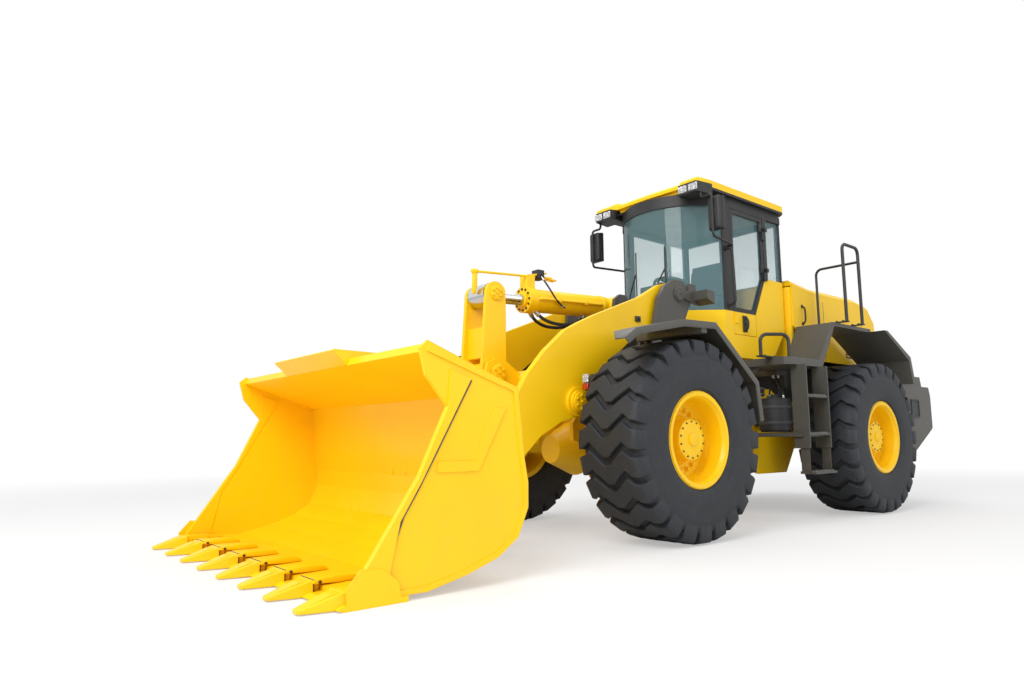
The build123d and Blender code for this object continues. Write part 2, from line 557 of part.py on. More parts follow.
# slanted yellow panel
quarter_foot = ((-364 - door_gap - 90, cab_sill_z), (-660, 2490), (cab_rear_x, 2490))
with BuildPart() as cab:
    plan(cab_floor_z, cab_sill_z)
    plan(cab_floor_z + 45, cab_sill_z + 1, cab_wall, Mode.SUBTRACT)
    slab(((420, 1600), (610, 1790), (610, 1600)), -700, 700, Mode.SUBTRACT)
    slab(((-990, 2040), (-990, 1600), (-640, 1600)), -700, 700, Mode.SUBTRACT)
    slab(((-364 - door_gap, cab_sill_z), (-578, 2486), (-578, 2500), (cab_rear_x + 60, 2500),
          (cab_rear_x + 60, cab_sill_z)), cab_half - cab_wall, cab_half, mirror_y=True)
    flat(((cab_rear_x + 61, cab_half), (cab_rear_x, cab_half - 60), (cab_rear_x, -cab_half + 60),
          (cab_rear_x + 61, -cab_half), (cab_rear_x + 61, -cab_half + cab_wall),
          (cab_rear_x + cab_wall, -cab_half + 90), (cab_rear_x + cab_wall, cab_half - 90),
          (cab_rear_x + 61, cab_half - cab_wall)),
         cab_sill_z - 120, 2500)
    slab(((28 + door_gap, 1850 - door_gap), (28 + door_gap, 2100), (-364 - door_gap, 2100),
          (-364 - door_gap, 1850 - door_gap)), cab_half - 60, cab_half + 20, Mode.SUBTRACT)
save(cab, "cab_shell")
with BuildPart() as frame:
    plan(3170, 3290)
    plan(3169, 3230, cab_wall, Mode.SUBTRACT)
    for s in (1, -1):                                   # posts, roof tray and lamp pods
        y0, y1 = min(s * cab_half, s * (cab_half - cab_wall)), max(s * cab_half, s * (cab_half - cab_wall))
        block(28 + door_gap, cab_corner_x - 10, y0, y1, cab_sill_z, 3175)
        slab(((-578, 2500), (-640, 2500), (-640, 3175), (-578, 3175)), y0, y1)
        flat(((cab_rear_x + 61, s * cab_half), (cab_rear_x, s * (cab_half - 60)),
              (cab_rear_x + 40, s * (cab_half - 85)), (cab_rear_x + 75, s * (cab_half - cab_wall))), 2500,
              3175)
        flat(((560, s * 700), (600, s * 690), (600, s * 470), (540, s * 450), (380, s * 480),
              (380, s * 725)), 3225, 3330)
    flat(((470, -560), (500, 0), (470, 560), (430, 722), (-930, 722), (-985, 660), (-985, -660),
          (-930, -722), (430, -722)), 3275, 3300)
    for z0 in (2570, 3020):
        block(-612, -573, cab_half - 1, cab_half + 36, z0, z0 + 40)
        zpin(door_hinge[0], door_hinge[1], door_pin_radius + fit, z0 - 1, z0 + 41, Mode.SUBTRACT)
save(frame, "cab_frame")
roof_low = ((520, -430), (535, 0), (520, 430), (575, 480), (575, 700), (430, 722), (-930, 722), (-985, 660),
            (-985, -660), (-930, -722), (430, -722), (575, -700), (575, -480))
with BuildPart() as roof:
    flat(((470, -440), (500, 0), (470, 440), (376, 445), (376, 722), (-930, 722), (-985, 660), (-985, -660),
          (-930, -722), (376, -722), (376, -445)), 3300, 3330)
    flat(roof_low, 3330, 3365)
    with BuildSketch(Plane.XY.offset(3365)) as s:
        with BuildLine():
            Polyline(*roof_low, close=True)
        make_face()
    with BuildSketch(Plane.XY.offset(3400)) as s2:
        with BuildLine():
            Polyline(*[(x * 0.93 - 12, y * 0.93) for x, y in roof_low], close=True)
        make_face()
    loft([s.sketch.faces()[0], s2.sketch.faces()[0]])
save(roof, "cab_roof")
pane = 8
with BuildPart() as glass:
    plan(cab_sill_z, 3170, 14)
    plan(cab_sill_z - 1, 3171, 14 + pane, Mode.SUBTRACT)
    block(cab_rear_x - 50, cab_corner_x - 10, -800, 800, cab_sill_z - 5, 3200, Mode.SUBTRACT)
    for s in (1, -1):
        y0, y1 = min(s * (cab_half - 22), s * (cab_half - 30)), max(s * (cab_half - 22), s * (cab_half - 30))
        slab(((-640, 2500), (-640, 3170), (cab_rear_x + 75, 3170), (cab_rear_x + 75, 2500)), y0, y1)
    block(cab_rear_x + 18, cab_rear_x + 26, -590, 590, 2500, 3170)
    slab(((34, cab_sill_z), (34, 3170), (-578, 3170), (-578, 2486), (-370, cab_sill_z)), -cab_half + 22,
         -cab_half + 30)
save(glass, "cab_glass")
with BuildPart() as door:
    slab(((28, cab_sill_z), (28, 3167), (-572, 3167), (-572, 2486), (-364, cab_sill_z)), cab_half - 38,
         cab_half - 2)
    slab(((-17, cab_sill_z + 45), (-17, 3122), (-527, 3122), (-527, 2497), (-336, cab_sill_z + 45)),
         cab_half - 60, cab_half + 10, Mode.SUBTRACT)
    for z0 in (2510, 2960):
        block(-585, -535, cab_half + 2, cab_half + 25, z0 - 40, z0 + 54)
        block(-560, -535, cab_half - 3, cab_half + 5, z0 - 40, z0 + 54)
        zpin(*door_hinge, door_pin_radius, z0 - 30, z0 + 104)
save(door, "door_left")
with BuildPart() as door_panel:
    block(-364, 28, cab_half - 38, cab_half - 2, 1850, cab_sill_z)
    block(-30, 10, cab_half - 5, cab_half + 18, 1960, 2060)
save(door_panel, "door_panel")
with BuildPart() as door_glass:
    slab(((-17, cab_sill_z + 45), (-17, 3122), (-527, 3122), (-527, 2497), (-336, cab_sill_z + 45)),
         cab_half - 26, cab_half - 18)
save(door_glass, "door_glass")
with BuildPart() as seat:
    block(-560, -60, -260, 260, 1960, 2110)
    slab(((-560, 2100), (-430, 2100), (-540, 2780), (-650, 2780)), -240, 240)
    block(-450, -170, -160, 160, 1655, 1960)
save(seat, "seat")
with BuildPart() as console:
    slab(((290, 1655), (380, 1655), (260, 2350), (190, 2330)), -70, 70)
    rod((189.12, 0, 2330.16), (160, 0, 2430), 22)
    slab(((290, 1655), (385, 1655), (420, 1700), (420, 2050), (290, 2050)), -330, 330)
    block(-500, -50, -420, -290, 1655, 2250)
save(console, "console")
with BuildPart() as wheel_ring:
    pl = Plane(origin=(160, 0, 2430), z_dir=(-0.28, 0, 0.96))
    with BuildSketch(pl) as s:
        Circle(205)
        Circle(178, mode=Mode.SUBTRACT)
        Rectangle(380, 30)
        Circle(50)
    extrude(s.sketch, amount=26)
save(wheel_ring, "steering_wheel")

# Decks, ladders, rails, mirrors
for name, s in SIDES:
    def yy(a, b):
        return min(s * a, s * b), max(s * a, s * b)
    with BuildPart() as deck:
        flat(((-50, s * 1150), (-50, s * 700), (-700, s * 700), (-700, s * 1200), (-120, s * 1200)),
             platform_bottom, platform_top)
        slab(((-670, 1530), (-980, 2000), (-1830, 2000), (-1830, 1960), (-1000, 1960), (-690, 1500)),
             *yy(780, 1200))
        slab(((-700, 1505), (-640, 1505), (-640, 1560), (-960, 2000), (-1000, 2000)), *yy(1180, 1200))
        slab(((-1750, 1960), (-1830, 1960), (-2380, 1700), (-2460, 1400), (-2400, 1400), (-2330, 1660)),
             *yy(790, 1390))
        block(-700, -640, *yy(700, 800), 1330, 1540)
        block(-640, -500, *yy(470, 800), 1450, 1505)
        block(-180, -110, *yy(470, 800), 1450, 1505)
        block(-640, -600, *yy(430, 475), 1330, 1510)
        block(-1120, -1060, *yy(780, 800), 1880, 1965)
        block(-1120, -1060, *yy(470, 800), 1880, 1940)
        block(-1120, -1060, *yy(470, 500), 1130, 1940)
    save(deck, "deck_" + name)
    with BuildPart() as ladder:
        for xx in (-205, -605):
            slab(((xx - 8, 700), (xx + 8, 700), (xx + 8, 1505), (xx - 8, 1505)), *yy(1130, 1290))
        for zz in (1200, 835):
            block(-605, -205, *yy(1140, 1285), zz - 12, zz + 12)
        block(-605, -205, *yy(1170, 1330), 458, 482)
        for xx in (-205, -605):
            block(xx - 16, xx - 8, *yy(1180, 1270), 470, 780)
            block(xx - 16, xx + 8, *yy(1180, 1270), 458, 482)
        block(-640, -170, *yy(470, 1230), 810, 850)
    save(ladder, "ladder_" + name)
    with BuildPart() as rails:
        rail(((100, s * 1000, 1592), (100, s * 1000, 1800), (-130, s * 1165, 1800), (-130, s * 1165, 1580)),
             17)
        rail(((-1450, s * 1290, 2012), (-1450, s * 1290, 2850), (-1100, s * 1290, 2850),
              (-1100, s * 1290, 2012)), 17)
        rail(((-1450, s * 1290, 2700), (-1450, s * 800, 2700), (-1450, s * 800, 2000)), 14)
        block(-1120, -1080, *yy(1150, 1312), 2000, 2012)
        block(-1470, -1430, *yy(1150, 1312), 2000, 2012)
        block(-170, 130, *yy(965, 1035), 1580, 1592)
    save(rails, "rails_" + name)
    with BuildPart() as mirror:
        block(435, 475, *yy(740, 900), 2820, 3150)
        rail(((530, s * 690, 3225), (530, s * 690, 3170), (530, s * 820, 3170), (530, s * 820, 2750),
              (90, s * 740, 2750), (90, s * cab_half, 2750)), 12, 30)
        block(465, 535, *yy(808, 832), 2970, 3010)
    save(mirror, "mirror_" + name)
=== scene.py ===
"""Dresses the wheel loader: finishes for the CAD pieces, tyres, bolts, lamps, trim, cushions, studio."""
from math import cos, pi, radians, sin, sqrt

import bpy
from mathutils import Matrix, Vector


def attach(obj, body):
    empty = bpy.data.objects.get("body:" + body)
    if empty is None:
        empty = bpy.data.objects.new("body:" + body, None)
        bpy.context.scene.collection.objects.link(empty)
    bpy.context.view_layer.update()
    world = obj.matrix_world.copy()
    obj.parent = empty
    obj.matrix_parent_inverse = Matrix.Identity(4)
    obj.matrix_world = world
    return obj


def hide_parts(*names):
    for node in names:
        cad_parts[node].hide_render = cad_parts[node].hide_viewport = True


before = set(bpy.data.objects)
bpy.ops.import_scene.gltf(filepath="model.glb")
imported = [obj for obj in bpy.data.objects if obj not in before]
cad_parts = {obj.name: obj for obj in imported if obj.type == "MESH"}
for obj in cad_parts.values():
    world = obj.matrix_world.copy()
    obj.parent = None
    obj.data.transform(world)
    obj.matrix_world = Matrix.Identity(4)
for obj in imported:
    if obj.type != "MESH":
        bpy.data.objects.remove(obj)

bl_info = {
    "name": "Wheel loader dressing",
    "version": (1, 0, 0),
    "blender": (4, 5, 0),
    "location": "3D View > Sidebar > Loader",
    "description": "Finishes and small parts for the wheel loader frame",
    "category": "Object",
}

HINGE = -0.7275                      # the articulation axis in the row frame
TO_ROW_FRAME = Matrix.Translation((HINGE, 0, 0))     # pieces are modelled from that axis and moved at the end
FRONT_AXLE, REAR_AXLE = 1.6, -1.6
TRACK, HUB_HEIGHT = 1.095, 0.797
PLATFORM_TOP, DECK_TOP = 1.58, 2.0
WINDSHIELD_BACK, WINDSHIELD_RADIUS = -0.064, 0.664   # centre and radius of the glass seen from above
TEETH = 8
TOOTH_PITCH = (2 * 1.488 - 0.216) / (TEETH - 1)
SIDES = (("left", 1), ("right", -1))
WHEELS = tuple((end + "_" + name, x, side)
               for end, x in (("front", FRONT_AXLE), ("rear", REAR_AXLE)) for name, side in SIDES)
ACROSS, UP, AHEAD = (0, 1, 0), (0, 0, 1), (1, 0, 0)

# The camera, solved from the photograph of 1024 x 683 pixels, and seen from the articulation axis
PHOTO_WIDTH, FOCAL_PIXELS = 1024, 711.524
SHIFT_RIGHT, SHIFT_UP = -21.91, 0.82
CAMERA_SPOT = (6.201, 4.78464, 0.82048)
CAMERA_HEADING, CAMERA_PITCH, CAMERA_ROLL = -130.3976, 7.6717, -0.5577

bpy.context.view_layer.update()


# Shader maths and finishes
def operator(operation, turned_round=False):
    """A method of Wire that adds one Math node; turned round, its own value comes last."""
    def method(self, *others):
        values = (self, *others)
        return self.math(operation, *(values[::-1] if turned_round else values))
    return method


class Wire:
    """A node's output in a Python expression. Each operator adds its Math node."""

    def __init__(self, tree, socket):
        self.tree, self.socket = tree, socket

    def math(self, operation, *values):
        node = self.tree.nodes.new("ShaderNodeMath")
        node.operation = operation
        for entry, value in zip(node.inputs, values):
            if isinstance(value, Wire):
                self.tree.links.new(value.socket, entry)
            else:
                entry.default_value = value
        return Wire(self.tree, node.outputs[0])

    __add__ = operator("ADD")
    __radd__ = operator("ADD", turned_round=True)
    __sub__ = operator("SUBTRACT")
    __rsub__ = operator("SUBTRACT", turned_round=True)
    __mul__ = operator("MULTIPLY")
    __rmul__ = operator("MULTIPLY", turned_round=True)
    __pow__ = operator("POWER")
    least = operator("MINIMUM")
    most = operator("MAXIMUM")
    wave = operator("SINE")

    def step(self, low, high):
        """Rises smoothly from 0 at the low value to 1 at the high one."""
        node = self.tree.nodes.new("ShaderNodeMapRange")
        node.interpolation_type = "SMOOTHSTEP"
        self.tree.links.new(self.socket, node.inputs[0])
        node.inputs[1].default_value, node.inputs[2].default_value = low, high
        return Wire(self.tree, node.outputs[0])


class Finish:
    """One material, put together from wires."""

    def __init__(self, name):
        self.material = bpy.data.materials.new(name)
        self.material.use_nodes = True
        self.tree = self.material.node_tree
        self.tree.nodes.clear()
        self.surface = self.tree.nodes.new("ShaderNodeBsdfPrincipled")
        output = self.tree.nodes.new("ShaderNodeOutputMaterial")
        self.tree.links.new(self.surface.outputs[0], output.inputs[0])
        self.spot = self.node("ShaderNodeTexCoord", out="Object")
        split = self.node("ShaderNodeSeparateXYZ", {}, {0: self.spot}, out=None)
        self.x, self.y, self.z = (Wire(self.tree, s) for s in split.outputs)

    def node(self, kind, settings=None, values=None, out=0):
        node = self.tree.nodes.new(kind)
        for key, value in (settings or {}).items():
            setattr(node, key, value)
        for key, value in (values or {}).items():
            if isinstance(value, Wire):
                self.tree.links.new(value.socket, node.inputs[key])
            else:
                node.inputs[key].default_value = value
        return node if out is None else Wire(self.tree, node.outputs[out])

    def noise(self, scale, detail=3.0, rough=0.55, where=None):
        return self.node("ShaderNodeTexNoise", {},
                         {"Vector": where or self.spot, "Scale": scale, "Detail": detail, "Roughness": rough})

    def stretch(self, sx, sy, sz):
        return self.node("ShaderNodeMapping", {}, {"Vector": self.spot, "Scale": (sx, sy, sz)})

    def mix(self, a, b, share):
        node = self.tree.nodes.new("ShaderNodeMix")
        node.data_type = "RGBA"
        for entry, value in ((node.inputs[0], share), (node.inputs[6], a), (node.inputs[7], b)):
            if isinstance(value, Wire):
                self.tree.links.new(value.socket, entry)
            else:
                entry.default_value = (*value, 1) if isinstance(value, tuple) else value
        return Wire(self.tree, node.outputs[2])

    def rounded(self, radius):
        return self.node("ShaderNodeBevel", {"samples": 4}, {"Radius": radius})

    def bump(self, height, depth, under=None):
        values = {"Height": height, "Strength": 1.0, "Distance": depth}
        if under:
            values["Normal"] = under
        return self.node("ShaderNodeBump", {}, values)

    def set(self, **values):
        for key, value in values.items():
            entry = self.surface.inputs[key.replace("_", " ")]
            if isinstance(value, Wire):
                self.tree.links.new(value.socket, entry)
            else:
                entry.default_value = (*value, 1) if isinstance(value, tuple) and len(value) == 3 else value
        return self.material


def paint(name, colour, rough=0.38, dust=0.03, edge=0.006, coat=0.12):
    """Sprayed machine paint: slight cloudiness, orange peel, floor dust low down and softened edges."""
    look = Finish(name)
    cloud = look.noise(1.7, 2.0)
    low = (1.0 - look.z.step(0.0, 1.3)) * look.noise(9.0, 5.0).step(0.42, 0.72) * dust
    darker = tuple(c * 0.95 for c in colour)
    base = look.mix(darker, colour, cloud.step(0.3, 0.62))
    base = look.mix(base, (0.33, 0.29, 0.23), low)
    normal = look.bump(look.noise(260.0, 2.0), 0.00025, look.rounded(edge) if edge else None)
    return look.set(Base_Color=base, Roughness=rough + look.noise(14.0, 4.0) * 0.12 + low * 0.35,
                    Specular_IOR_Level=0.32, Coat_Weight=coat, Coat_Roughness=0.12, Normal=normal)


def wheel_radius(look):
    """Distance from the nearer axle, measured across the wheel."""
    across = look.z - HUB_HEIGHT
    front, back = look.x - (FRONT_AXLE + HINGE), look.x - (REAR_AXLE + HINGE)
    near = (front * front).least(back * back)
    return (near + across * across) ** 0.5


def tyre_rubber():
    look = Finish("tyre_rubber")
    r = wheel_radius(look)
    near_bead = r.step(0.425, 0.430) - r.step(0.436, 0.441)
    near_tread = r.step(0.612, 0.617) - r.step(0.622, 0.627)
    ripples = (r * 520.0).wave() * (r.step(0.44, 0.45) - r.step(0.50, 0.51)) * 0.25
    rings = near_bead * 2.2 + near_tread * 2.2 + ripples
    low = r.step(0.70, 0.765)
    dust = look.noise(14.0, 5.0).step(0.38, 0.75) * (1.0 - low * 0.55) * 0.14
    base = look.mix((0.022, 0.025, 0.030), (0.085, 0.085, 0.085), dust)
    grain = look.noise(190.0, 3.0) * 0.35 + rings
    return look.set(Base_Color=base, Roughness=0.62 + dust * 0.3, Specular_IOR_Level=0.35,
                    Normal=look.bump(grain, 0.0006, look.rounded(0.005)))


def bright_steel(name, colour=(0.72, 0.73, 0.75), rough=0.14):
    look = Finish(name)
    scratches = look.noise(60.0, 6.0, 0.7, look.stretch(1.0, 14.0, 14.0))
    return look.set(Base_Color=look.mix(colour, tuple(c * 0.8 for c in colour), scratches), Metallic=1.0,
                    Roughness=rough + scratches * 0.12, Normal=look.bump(scratches, 0.00008))


def moulded(name, colour, rough=0.5, grain=380.0, edge=0.004):
    look = Finish(name)
    speckle = look.noise(grain, 2.0)
    return look.set(Base_Color=look.mix(colour, tuple(min(1.0, c * 1.35 + 0.004) for c in colour),
                                        look.noise(5.0, 4.0).step(0.35, 0.7)),
                    Roughness=rough + speckle * 0.15,
                    Normal=look.bump(speckle, 0.0003, look.rounded(edge) if edge else None))


def pane(name, colour, alpha):
    """Tinted cab glass with painted shade, darker and denser toward the top, and a faint film of dust."""
    look = Finish(name)
    film = look.noise(2.2, 4.0).step(0.35, 0.75)
    # painted shade: the glass is darkened and made denser toward the top
    painted_top_shade = look.z.step(1.9, 3.2)
    return look.set(Base_Color=look.mix(colour, tuple(c * 0.55 for c in colour), painted_top_shade),
                    Roughness=0.03 + film * 0.02, IOR=1.5, Alpha=alpha + painted_top_shade * 0.10, Coat_Weight=0.5)


def woven(name, colour):
    look = Finish(name)
    weave = (look.x * 2400.0).wave() * (look.y * 2400.0).wave() * 0.5 + (look.z * 2400.0).wave() * 0.25
    return look.set(Base_Color=look.mix(colour, tuple(c * 2.2 for c in colour),
                                        look.noise(300.0, 2.0).step(0.3, 0.7)), Roughness=0.9,
                    Sheen_Weight=0.3, Normal=look.bump(weave + look.noise(120.0, 3.0), 0.0006))


def lens(name, colour, glow):
    """Lamp glass with a pressed honeycomb of small reflectors behind it."""
    look = Finish(name)
    cells = look.node("ShaderNodeTexVoronoi", {"feature": "F1"}, {"Vector": look.spot, "Scale": 46.0})
    ribs = cells.step(0.1, 0.55)
    return look.set(Base_Color=look.mix(colour, tuple(c * 0.35 for c in colour), ribs), Roughness=0.08,
                    Coat_Weight=1.0, Emission_Color=look.mix(colour, tuple(c * 0.4 for c in colour), ribs),
                    Emission_Strength=glow, Normal=look.bump(cells, 0.004))


def tread_plate(name, colour):
    """Deck sheet with raised anti-slip studs."""
    look = Finish(name)
    platform = look.z.step(PLATFORM_TOP - 0.012, PLATFORM_TOP - 0.004)
    over_it = look.z.step(PLATFORM_TOP + 0.01, PLATFORM_TOP + 0.02)
    trodden = platform - over_it + look.z.step(DECK_TOP - 0.008, DECK_TOP - 0.002)
    studs = ((look.x * 105.0).wave() * (look.y * 105.0).wave()).step(0.45, 0.8) * trodden
    base = look.mix(colour, tuple(c * 1.9 for c in colour),
                    studs * 0.35 + look.noise(11.0, 5.0).step(0.45, 0.8) * 0.12)
    return look.set(Base_Color=base, Roughness=0.5 - studs * 0.12,
                    Normal=look.bump(studs, 0.002, look.rounded(0.004)))


# Modelling helpers
def bare(*objects):
    """Only these objects are selected, the last one active."""
    bpy.ops.object.select_all(action="DESELECT")
    for piece in objects:
        piece.select_set(True)
        bpy.context.view_layer.objects.active = piece


def added(name, operation, **settings):
    """A new object from one of the add operators, with nothing else selected."""
    bpy.ops.object.select_all(action="DESELECT")
    operation(**settings)
    piece = bpy.context.object
    piece.name = name
    return piece


def settle(piece):
    """Moves the object's place, turn and scale into its mesh."""
    bare(piece)
    bpy.ops.object.transform_apply(location=True, rotation=True, scale=True)
    return piece


def extruded(piece, way):
    """Draws all faces out and turns the shell's faces to the outside."""
    bpy.ops.object.mode_set(mode="EDIT")
    bpy.ops.mesh.select_all(action="SELECT")
    bpy.ops.mesh.extrude_region_move(TRANSFORM_OT_translate={"value": tuple(way)})
    bpy.ops.object.mode_set(mode="OBJECT")
    return outward(piece)


def outward(piece):
    """Turns all faces to the outside."""
    bare(piece)
    bpy.ops.object.mode_set(mode="EDIT")
    bpy.ops.mesh.select_all(action="SELECT")
    bpy.ops.mesh.normals_make_consistent(inside=False)
    bpy.ops.object.mode_set(mode="OBJECT")
    return piece


def modified(piece, kind, **settings):
    """One modifier, set and applied."""
    bare(piece)
    modifier = piece.modifiers.new(kind.lower(), kind)
    for key, value in settings.items():
        setattr(modifier, key, value)
    bpy.ops.object.modifier_apply(modifier=modifier.name)
    return piece


def soften(piece, width, segments=2, angle=35.0):
    """Rounds the sharp edges and smooths the faces."""
    if width:
        modified(piece, "BEVEL", width=width, segments=segments, limit_method="ANGLE",
                 angle_limit=radians(angle), harden_normals=False)
    bare(piece)
    bpy.ops.object.shade_smooth_by_angle(angle=radians(angle))
    return piece


def block(name, low, high, round_by=0.004, segments=2):
    """Box between two corners, with rounded edges."""
    low, high = Vector(low), Vector(high)
    piece = added(name, bpy.ops.mesh.primitive_cube_add, size=1, location=(low + high) / 2,
                  scale=[abs(v) for v in high - low])
    return soften(settle(piece), round_by, segments)


def edging(name, low, high, bar, near, far, round_by):
    """Four bars round an opening between two (x, z) corners, from near to far across the machine."""
    (x0, z0), (x1, z1) = low, high
    bars = (((x0, z0), (x1, z0 + bar)), ((x0, z1 - bar), (x1, z1)),
            ((x0, z0 + bar), (x0 + bar, z1 - bar)), ((x1 - bar, z0 + bar), (x1, z1 - bar)))
    return [block(name, (a, near, b), (c, far, d), round_by) for (a, b), (c, d) in bars]


def disc(name, centre, axis, radius, depth, sides=24, round_by=0.003):
    """Round bar along an axis, its middle at centre."""
    turn = Vector(axis).normalized().to_track_quat("Z", "Y").to_euler()
    piece = added(name, bpy.ops.mesh.primitive_cylinder_add, vertices=sides, radius=radius, depth=depth,
                  location=centre, rotation=turn)
    return soften(settle(piece), round_by)


def outline(name, points, thickness, across, round_by=0.003):
    """Plate: a filled ring of vertices moved onto the points, then extruded across."""
    piece = added(name, bpy.ops.mesh.primitive_circle_add, vertices=len(points), radius=1, fill_type="NGON")
    for v, p in zip(piece.data.vertices, points):
        v.co = p
    return soften(extruded(piece, Vector(across) * thickness), round_by)


def plate(name, y, corners, thickness, side=1, round_by=0.003):
    """Upright plate lengthways: (x, z) corners at one distance from the middle plane, extruded sideways."""
    return outline(name, [(x, y, z) for x, z in corners], thickness, (0, side, 0), round_by)


def turned(name, profile, centre, side, steps=72):
    """Ring spun about the wheel's axle from a closed profile of (radius, outward) pairs."""
    piece = added(name, bpy.ops.mesh.primitive_circle_add, vertices=len(profile), radius=1,
                  fill_type="NOTHING")
    for v, (r, w) in zip(piece.data.vertices, profile):
        v.co = Vector(centre) + Vector((0, side * w, r))
    bpy.ops.object.mode_set(mode="EDIT")
    bpy.ops.mesh.select_all(action="SELECT")
    bpy.ops.mesh.spin(steps=steps, angle=2 * pi, center=centre, axis=ACROSS)
    bpy.ops.mesh.select_all(action="SELECT")
    bpy.ops.mesh.remove_doubles(threshold=0.0004)
    bpy.ops.object.mode_set(mode="OBJECT")
    return soften(outward(piece), 0)


def strand(name, points, order=3, smooth=3):
    """A smooth spline on these control points, still without a thickness."""
    piece = added(name, bpy.ops.curve.primitive_nurbs_path_add)
    piece.data.splines.clear()
    spline = piece.data.splines.new("NURBS")
    spline.points.add(len(points) - 1)
    for p, q in zip(spline.points, points):
        p.co = (*q, 1)
    spline.order_u, spline.use_endpoint_u, spline.resolution_u = order, True, smooth
    return settle(piece)


def thickened(piece, radius):
    """The spline made a round bar."""
    piece.data.bevel_depth, piece.data.bevel_resolution, piece.data.use_fill_caps = radius, 3, True
    bare(piece)
    bpy.ops.object.convert(target="MESH")
    return soften(bpy.context.object, 0)


def tube(name, points, radius, order=3):
    """Bent bar or steel line along a smooth spline."""
    return thickened(strand(name, points, order), radius)


def joined(name, objects):
    """The objects as one, under one name."""
    bare(*objects)
    if len(objects) > 1:
        bpy.ops.object.join()
    piece = bpy.context.object
    piece.name = name
    return piece


def copied(piece, matrix):
    """A copy with its own mesh, moved by a matrix."""
    twin = piece.copy()
    twin.data = piece.data.copy()
    bpy.context.collection.objects.link(twin)
    twin.data.transform(matrix)
    if matrix.determinant() < 0:
        twin.data.flip_normals()
    return twin


def ring(name, piece, count, centre, axis=ACROSS):
    """The piece and its copies round an axis, as one object."""
    out = [piece]
    for i in range(1, count):
        turn = Matrix.Rotation(2 * pi * i / count, 4, Vector(axis))
        out.append(copied(piece, Matrix.Translation(centre) @ turn @ Matrix.Translation(-Vector(centre))))
    return joined(name, out)


def fitted(name, parts, body, finish):
    """Joins the parts into one finished piece in the row frame, which rides on a body."""
    piece = joined(name, parts)
    piece.data.transform(TO_ROW_FRAME)
    piece.data.materials.clear()
    piece.data.materials.append(FINISHES[finish])
    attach(piece, body)
    return piece


def bolt(centre, axis, across=0.030, height=0.018, washer=True):
    """Hexagon head standing on a face, with its washer."""
    axis = Vector(axis).normalized()
    parts = [disc("bolt", Vector(centre) + axis * height * 0.6, axis, across / 2, height, 6, across * 0.06)]
    if washer:
        parts.append(disc("washer", Vector(centre) + axis * 0.002, axis, across * 0.72, 0.004, 20, 0.001))
    return joined("bolt", parts)


def hose(name, points, radius, body):
    """Free hydraulic hose on a spline with these control points, with a crimped fitting at each end."""
    line = strand(name, points, smooth=10)
    mesh = bpy.data.meshes.new_from_object(line)
    path = [v.co.copy() for v in mesh.vertices]
    bpy.data.meshes.remove(mesh)
    piece = fitted(name, [thickened(line, radius)], body, "rubber")
    ends = [disc("fitting", (a + b) / 2, b - a, radius * 1.35, 0.05, 12, 0.002)
            for a, b in ((path[0], path[1]), (path[-2], path[-1]))]
    fitted(name + "_fittings", ends, body, "zinc")
    path = [TO_ROW_FRAME @ p for p in path]


def pin_end(name, body, x, z, face, radius, finish):
    """Round cover with a ring of bolts and a grease nipple, on both sides of the machine."""
    for end, side in SIDES:
        centre, out = Vector((x, side * face, z)), Vector((0, side, 0))
        cover = disc("cover", centre + out * 0.006, out, radius, 0.012, 36, 0.003)
        fitted(name + "_cover_" + end, [cover], body, finish)
        head = bolt(centre + out * 0.012 + Vector((0, 0, radius * 0.68)), out, 0.022, 0.010, False)
        heads = ring("heads", head, 6, centre)
        nipple = disc("nipple", centre + out * 0.02, out, 0.008, 0.018, 12, 0.001)
        fitted(name + "_bolts_" + end, [heads, nipple], body, finish)


# Sizes and colours that a user would change
class LoaderSizes(bpy.types.PropertyGroup):
    lug_count: bpy.props.IntProperty(name="Tyre lugs", description="Lugs round each tyre", default=24,
                                     min=12, max=40)
    lug_depth: bpy.props.FloatProperty(name="Lug depth", description="Height of a lug over the carcass",
                                       default=0.040, unit="LENGTH")
    line_radius: bpy.props.FloatProperty(name="Line radius", description="Radius of the hydraulic lines",
                                         default=0.013, unit="LENGTH")


class LoaderColours(bpy.types.PropertyGroup):
    yellow: bpy.props.FloatVectorProperty(name="Yellow", description="Main paint", subtype="COLOR",
                                          default=(1.0, 0.615, 0.001))
    grey: bpy.props.FloatVectorProperty(name="Grey",
                                        description="Paint of the boom tower, fenders and steps",
                                        subtype="COLOR", default=(0.075, 0.072, 0.062))
    glass: bpy.props.FloatVectorProperty(name="Glass", description="Tint of the cab glass", subtype="COLOR",
                                         default=(0.36, 0.68, 0.74))
    floor: bpy.props.FloatVectorProperty(name="Floor", description="Studio floor", subtype="COLOR",
                                         default=(0.82, 0.82, 0.82))


FINISHES = {}


